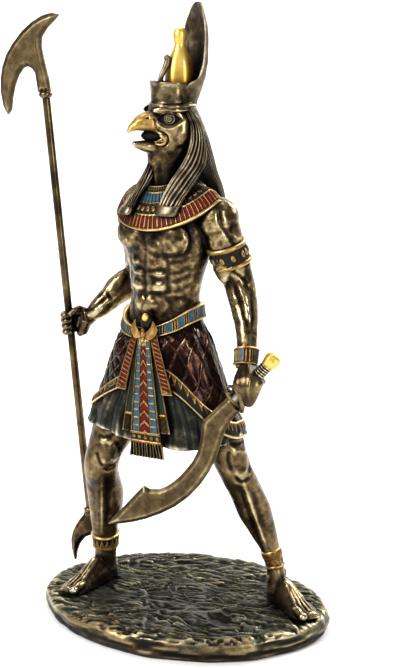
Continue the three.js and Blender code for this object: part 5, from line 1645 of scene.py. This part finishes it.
def panelPattern(u, v):
    edge = (u < 0.07) | (u > 0.93) | ((v < 0.2) & (v > 0.17))
    strand = np.cos(tau * 10 * u)
    tassel = v <= 0.17
    weave = 0.08 * np.cos(tau * 24 * u)
    lift = np.where(edge, 0.3, np.where(tassel, 0.35 * strand, -0.1 + weave))
    return lift, np.where(tassel, np.where(strand > 0.3, 4, 5), np.where(edge, 0, 6))


# The dark panels are glazed bottle green over bronze, nearly black in the shade.
greenEnamel = castFinish("enamel paint, bottle green", {
    "colours": [(0.0, "#060a07"), (0.4, "#12201a"), (0.6, "#253a30"), (0.85, "#6d7a64")],
    "mottleSize": 4, "mottle": 0.14, "grainSize": 0.6, "rough": (0.5, 0.36), "metal": 0.2, "bump": 0.2, "gleam": 0.2,
})
apronFinishes = (trimGold, blackEnamel, turquoiseEnamel, redEnamel, rubbedBronze, darkBronze, greenEnamel)
apronPanels = [
    # name, top, bottom, sides at the top and bottom, how far it stands out, faces across and down, pattern
    ("apronGreenLeft", 136, 91.5, (0, 4.2), (10.4, 17.0), 2.4, (60, 90), panelPattern),
    ("apronGreenRight", 136, 90.5, (-3.8, 0), (-8.6, -1.4), 2.4, (60, 90), panelPattern),
    ("sashLeft", 137, 109.6, (3.2, 6.6), (11.9, 16.7), 3.4, (40, 120), sashPattern),
    ("sashRight", 137, 109.8, (-6.4, -3.2), (-14.2, -8.0), 3.4, (40, 120), sashPattern),
    ("apronCentre", 138, 79.4, (-2.7, 2.9), (-2.8, 15.2), 3.9, (104, 216), centrePattern),
]


def wingFeathers():
    # thin feathers fanned out of the scarab's shoulders, and a short tail of strands below it
    forms = []
    for side in (1, -1):
        for feather in range(6):
            t = feather / 5
            line = [(side * 1.0, -19.4, 137.2 - 1.6 * t), (side * (2.6 + 1.2 * t), -19.6, 138.2 - 3.2 * t),
                    (side * (4.4 + 1.7 * t), -18.9, 140.6 - 3.8 * t), (side * (5.0 + 2.2 * t), -18.3, 143.4 - 3.6 * t)]
            path = through(line, np.linspace(0, 1, 12))
            forms.append(tube(pelvis.place(*path.T), np.interp(np.linspace(0, 1, 12), [0, 0.6, 1], [0.3, 0.44, 0.24]),
                              10))
    for strand in range(-2, 3):
        forms.append(tube(pelvis.place([strand * 0.5, strand * 1.0], [-19.2, -20.4], [135.4, 131.4]), [0.34, 0.26], 8))
    return forms


def buildApron():
    for name, top, bottom, topSides, lowSides, raised, size, pattern in apronPanels:
        surface = apronSurface(top, bottom, topSides, lowSides, raised)
        standing(reliefMap(strip(name, surface, size, pattern, apronFinishes, 1.2, False), 0.28, (1, 4)))
    dark = meshObject("buckleBack", *bulge(pelvis, 0, -15.8, 141.6, 3.2, 2.4, 4.0))
    disk = meshObject("sunDisk", *bulge(pelvis, 0.2, -17.6, 144.6, 1.6, 1.7, 2.0))
    scarab = meshObject("scarab", *merged([
        bulge(pelvis, 0, -19.2, 136.8, 1.5, 1.4, 2.0), bulge(pelvis, 0, -19.4, 139.0, 1.1, 1.0, 0.9),
        bulge(pelvis, 0, -19.0, 134.8, 1.7, 1.2, 0.7),
    ] + wingFeathers()))
    for piece, finish in ((dark, blackEnamel), (disk, brightGold), (scarab, trimGold)):
        dressed(piece, 0.5, (2, 6), finish)


buildApron()
print("apron hung")


# Crescent staff

crescentOutline = np.array([
    (11.9, 40.7), (7.5, 41.8), (2.5, 40.9), (-3.4, 38.3), (-9.5, 34.1), (-15.1, 28.7), (-19.3, 23.5), (-22.2, 17.6),
    (-23.8, 12.0), (-24.5, 5.6), (-23.9, -1.4), (-21.9, -6.1), (-19.6, -3.6), (-18.2, 2.6), (-16.2, 8.2), (-13.6, 13.0),
    (-10.7, 16.3), (-8.1, 17.1), (-5.8, 15.9), (-4.3, 13.3), (-3.9, 4.0), (2.9, 3.7), (2.5, 11.2), (1.2, 19.0),
    (0.4, 26.3), (1.2, 30.5), (4.6, 34.6), (9.8, 38.5),
])
prong = [
    (-2.7, 27), (-3.4, 24.4), (-6.1, 21.6), (-9.0, 17.8), (-11.0, 14.2), (-12.3, 10.2), (-12.5, 6), (-12.1, 2.0),
    (-11.6, -1.2), (-10.9, -1.2), (-9.9, 3.2), (-7.7, 7.8), (-4.3, 11.6),
]
forkOutline = np.array(prong + [(0, 13.4)] + mirrored(prong)[::-1])


def edgeDistance(spots, outline):
    best = np.full(len(spots), 1e9)
    for a, b in zip(outline, np.roll(outline, -1, 0)):
        way = b - a
        t = np.clip(((spots - a) @ way) / max(way.dot(way), 1e-9), 0, 1)
        best = np.minimum(best, np.linalg.norm(spots - a - t[:, None] * way, axis=1))
    return best


def bladePlate(name, outline, place, across, up, half, edgeHalf, bevel, grain=0.36):
    # a flat blade grown from its outline, thick in the middle and bevelled to its edges
    outline = np.asarray(outline, float)
    thick = np.cross(across, up)
    lay = lambda spots, out: place + spots[:, :1] * across + spots[:, 1:2] * up + out * thick
    count = len(outline)
    flipped = np.sum(np.roll(outline, -1, 0)[:, 0] * outline[:, 1] - outline[:, 0] * np.roll(outline, -1, 0)[:, 1]) > 0
    if flipped:
        outline = outline[::-1]
    points = np.concatenate([lay(outline, -half), lay(outline, half)])
    index = list(range(count))
    faces = [index[::-1], [i + count for i in index]]
    faces += [[i, (i + 1) % count, (i + 1) % count + count, i + count] for i in index]
    piece = meshObject(name, points, faces)
    remesh = piece.modifiers.new("even skin", "REMESH")
    remesh.mode, remesh.voxel_size = "VOXEL", grain * mm
    applied(piece)
    points = pointsOf(piece) - place
    spots = np.stack([points @ across, points @ up], -1)
    out = points @ thick
    inset = edgeDistance(spots, outline)
    reach = edgeHalf + (half - edgeHalf) * smoothStep(inset, 0, bevel)
    moved = place + spots[:, :1] * across + spots[:, 1:2] * up + (np.clip(out / half, -1, 1) * reach)[:, None] * thick
    movePoints(piece, moved)
    return piece


def axisRod(at, along, start, stop, radius, sides=32, steps=40):
    share = np.linspace(start, stop, steps)
    return tube(at + share[:, None] * along, radius, sides)


def axisLathe(at, along, profile):
    # turned about an axis; rows hold the radius and the distance along it
    profile = np.array(profile, float)
    one = unit(np.cross(along, [0.0, 1.0, 0.0]))
    two = np.cross(along, one)
    angle = roundAngles(48)
    ring = np.cos(angle)[:, None] * one + np.sin(angle)[:, None] * two
    return skin(at + profile[:, 1, None, None] * along + profile[:, 0, None, None] * ring)


def buildStaff():
    at, along, _, _ = gripOf(staffHold)
    foot = (soleHeight + 1.2 - at[2]) / along[2]
    collar = foot + 283 - 42
    across = np.array([1.0, 0, 0])
    across = unit(across - across.dot(along) * along)
    crescent = bladePlate("staffCrescent", crescentOutline, at + along * collar, across, along, 2.2, 0.7, 2.6)
    fork = bladePlate("staffFork", forkOutline * [1.008, 1] + [0, 1], at + along * foot, across, along, 2.2, 0.9, 2.4)
    rod = meshObject("staffRod", *merged([
        axisRod(at, along, foot + 20, collar + 6, 2.0, 32, 120),
        axisLathe(at, along, [(1.4, collar + 0.9), (2.6, collar + 1.1), (3.2, collar + 1.8), (3.5, collar + 2.7),
                              (3.3, collar + 3.6), (2.7, collar + 4.2), (2.2, collar + 4.6), (2.0, collar + 6.5),
                              (1.2, collar + 7.4)]),
        axisLathe(at, along, [(1.4, foot + 26.6), (2.6, foot + 26.9), (3.1, foot + 27.6), (3.1, foot + 28.6),
                              (2.7, foot + 29.3), (1.4, foot + 29.6)]),
    ]))
    for piece, finish, scale in ((rod, agedBronze, 3.0), (crescent, rubbedBronze, 0.5), (fork, agedBronze, 0.9)):
        dressed(piece, scale, (4, 14), finish, "staff")
    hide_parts("crescent_staff")


buildStaff()
print("staff held")


# Sickle sword

bladeOutline = np.array([
    (-8.5, -5.0), (-15.3, -12.0), (-21.7, -18.7), (-22.5, -20.4), (-22.8, -24.2), (-23.3, -29.0), (-24.6, -34.3),
    (-27.0, -39.2), (-30.1, -43.4), (-33.3, -47.2), (-36.9, -50.6), (-40.3, -53.0), (-43.6, -54.5), (-48.2, -54.8),
    (-51.2, -53.3), (-59.7, -63.0), (-67.6, -72.0), (-69.3, -74.3), (-62.8, -73.6), (-56.2, -72.0), (-50.0, -69.9),
    (-42.5, -66.5), (-35.3, -62.2), (-29.0, -57.0), (-23.3, -50.5), (-19.0, -43.8), (-16.0, -37.5), (-13.8, -30.8),
    (-11.4, -23.2), (-8.0, -17.1), (-3.9, -12.9),
])


def buildSword():
    at, along, _, _ = gripOf(swordHold)
    across = np.array([cos(radians(-5)), -sin(radians(-5)), 0.0])
    blade = bladePlate("swordBlade", bladeOutline, at, across, np.array([0, 0, 1.0]), 1.6, 0.45, 2.3, 0.44)
    ribs = [(0.5, -10.2), (2.6, -10.1), (2.6, 6.2)]
    for rib in range(5):
        ribs += [(2.35, 6.7 + rib * 1.25), (3.05, 7.05 + rib * 1.25), (3.1, 7.35 + rib * 1.25), (2.4, 7.7 + rib * 1.25)]
    ribs += [(2.4, 13.0), (0.5, 13.2)]
    grip = meshObject("swordGrip", *axisLathe(at, along, ribs))
    angle = roundAngles(64)
    facet = 1 / np.cos((angle % (tau / 6)) - tau / 12) * 0.93
    one = unit(np.cross(along, [0.0, 1.0, 0.0]))
    two = np.cross(along, one)
    ring = facet[:, None] * (np.cos(angle)[:, None] * one + np.sin(angle)[:, None] * two)
    profile = np.array([(1.0, 12.2), (2.6, 12.4), (3.0, 13.2), (3.5, 14.8), (3.6, 16.4), (3.2, 17.8), (2.1, 18.9),
                        (0.6, 19.5)])
    profile = through(profile, np.linspace(0, 1, 30))
    pommel = meshObject("gildedPommel",
                        *skin(at + profile[:, 1, None, None] * along + profile[:, 0, None, None] * ring))
    # a rounded band crosses the fist and curls into a small ring over the blade
    guardAt = at - 10.2 * along
    crossways = unit(np.array([-0.74, 0, 0.67]))
    front = unit(np.array([0.34, -0.94, 0.05]))
    side = np.cross(front, crossways)
    band = through([(34.0, -30.6, 129.1), (35.6, -31.3, 129.0), (37.5, -32.1, 127.2), (38.8, -31.8, 124.1),
                    (39.2, -30.6, 120.8),
                    (38.4, -28.6, 117.6), (37.6, -26.6, 116.6)], np.linspace(0, 1, 36))
    girth = np.interp(np.linspace(0, 1, 36), [0, 0.12, 0.5, 0.88, 1], [0.8, 1.1, 1.25, 1.2, 0.9])
    curl = roundAngles(28)
    loop = np.array([33.2, -30.5, 127.6]) + 1.45 * (np.cos(curl)[:, None] * crossways + np.sin(curl)[:, None] * side)
    guard = meshObject("swordGuard", *merged([
        tube(band, girth, 20), loopTube(loop, 0.68, 14),
        egg(guardAt + crossways * 6.5, guardAt - crossways * 6.0, 2.4, 2.2, 0, 0),
    ]))
    for piece, finish, scale in ((blade, rubbedBronze, 0.4), (grip, darkBronze, 0.6), (pommel, brightGold, 1.4),
                                 (guard, agedBronze, 0.7)):
        dressed(piece, scale, (4, 12), finish, "sword")
    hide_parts("sickle_sword")


buildSword()
print("sword held")


# Camera, floor and lights

setting = {
    "cameraAt": (241.9, -644.1, 305), "cameraTurn": (76.85, 0, 20), "lens": 79.1,
    "floor": "#f4f3f0", "key": 1.7, "fill": 0.8, "rim": 1.1, "back": 3.0, "world": 0.16,
}


def paleFloor(name, colour):
    # matt painted board with a barely visible tooth
    material = bpy.data.materials.new(name)
    material.use_nodes = True
    tree = material.node_tree
    shader = tree.nodes["Principled BSDF"]
    shader.inputs["Roughness"].default_value = 0.85
    place = addNode(tree, "ShaderNodeTexCoord").outputs["Object"]
    tooth = addNode(tree, "ShaderNodeTexNoise", {"Scale": 300.0, "Detail": 2.0}, {"Vector": place}).outputs["Fac"]
    ramp = addNode(tree, "ShaderNodeValToRGB", None, {"Fac": tooth})
    rampStops(ramp, [(0.3, colour), (0.7, "#fbfaf8")])
    tree.links.new(ramp.outputs[0], shader.inputs["Base Color"])
    return material


def buildSetting(look):
    # the board under the statuette curves up behind it into the backdrop
    across = np.linspace(-2600, 2600, 9)
    bend = np.linspace(0, tau / 4, 13)
    profile = [(-1800, 0.0), (-600, 0.0), (300, 0.0)]
    profile += [(900 + 700 * sin(a), 700 - 700 * cos(a)) for a in bend] + [(1600, 2600.0)]
    points = [(x, y, z - 0.05) for y, z in profile for x in across]
    count = len(across)
    faces = [(i * count + j, i * count + j + 1, (i + 1) * count + j + 1, (i + 1) * count + j)
             for i in range(len(profile) - 1) for j in range(count - 1)]
    board = meshObject("paleBoard", points, faces)
    board.rotation_euler = (0, 0, radians(20))
    board.data.materials.append(paleFloor("board, matt white paint", look["floor"]))
    shadeSmooth(board)

    camera = bpy.data.objects.new("photoCamera", bpy.data.cameras.new("photoCamera"))
    camera.location = Vector(look["cameraAt"]) * mm
    camera.rotation_euler = [radians(a) for a in look["cameraTurn"]]
    camera.data.lens = look["lens"]
    camera.data.sensor_width = 36
    camera.data.clip_start = 0.01
    bpy.context.scene.collection.objects.link(camera)
    bpy.context.scene.camera = camera

    for name, place, size, power in (
        ("keyLight", (-0.55, -0.85, 0.75), (0.5, 0.7), look["key"]),
        ("fillLight", (0.95, -0.75, 0.45), (0.35, 0.8), look["fill"]),
        ("rimLight", (0.5, 0.75, 0.7), (0.5, 0.6), look["rim"]),
        ("backdropLight", (-0.3, 0.35, 1.5), (1.6, 0.6), look["back"]),
    ):
        lamp = bpy.data.lights.new(name, "AREA")
        lamp.shape, lamp.size, lamp.size_y = "RECTANGLE", size[0], size[1]
        lamp.energy = power * 10
        light = bpy.data.objects.new(name, lamp)
        light.location = place
        aim = Vector((-0.55, 1.5, 0.5) if name == "backdropLight" else (0, 0, 0.15)) - light.location
        light.rotation_euler = aim.to_track_quat("-Z", "Y").to_euler()
        bpy.context.scene.collection.objects.link(light)

    world = bpy.data.worlds.new("softRoom")
    world.use_nodes = True
    world.node_tree.nodes["Background"].inputs[0].default_value = (1, 1, 1, 1)
    world.node_tree.nodes["Background"].inputs[1].default_value = look["world"]
    bpy.context.scene.world = world
    bpy.context.scene.view_settings.view_transform = "Standard"


buildSetting(setting)
print("camera and lights set")
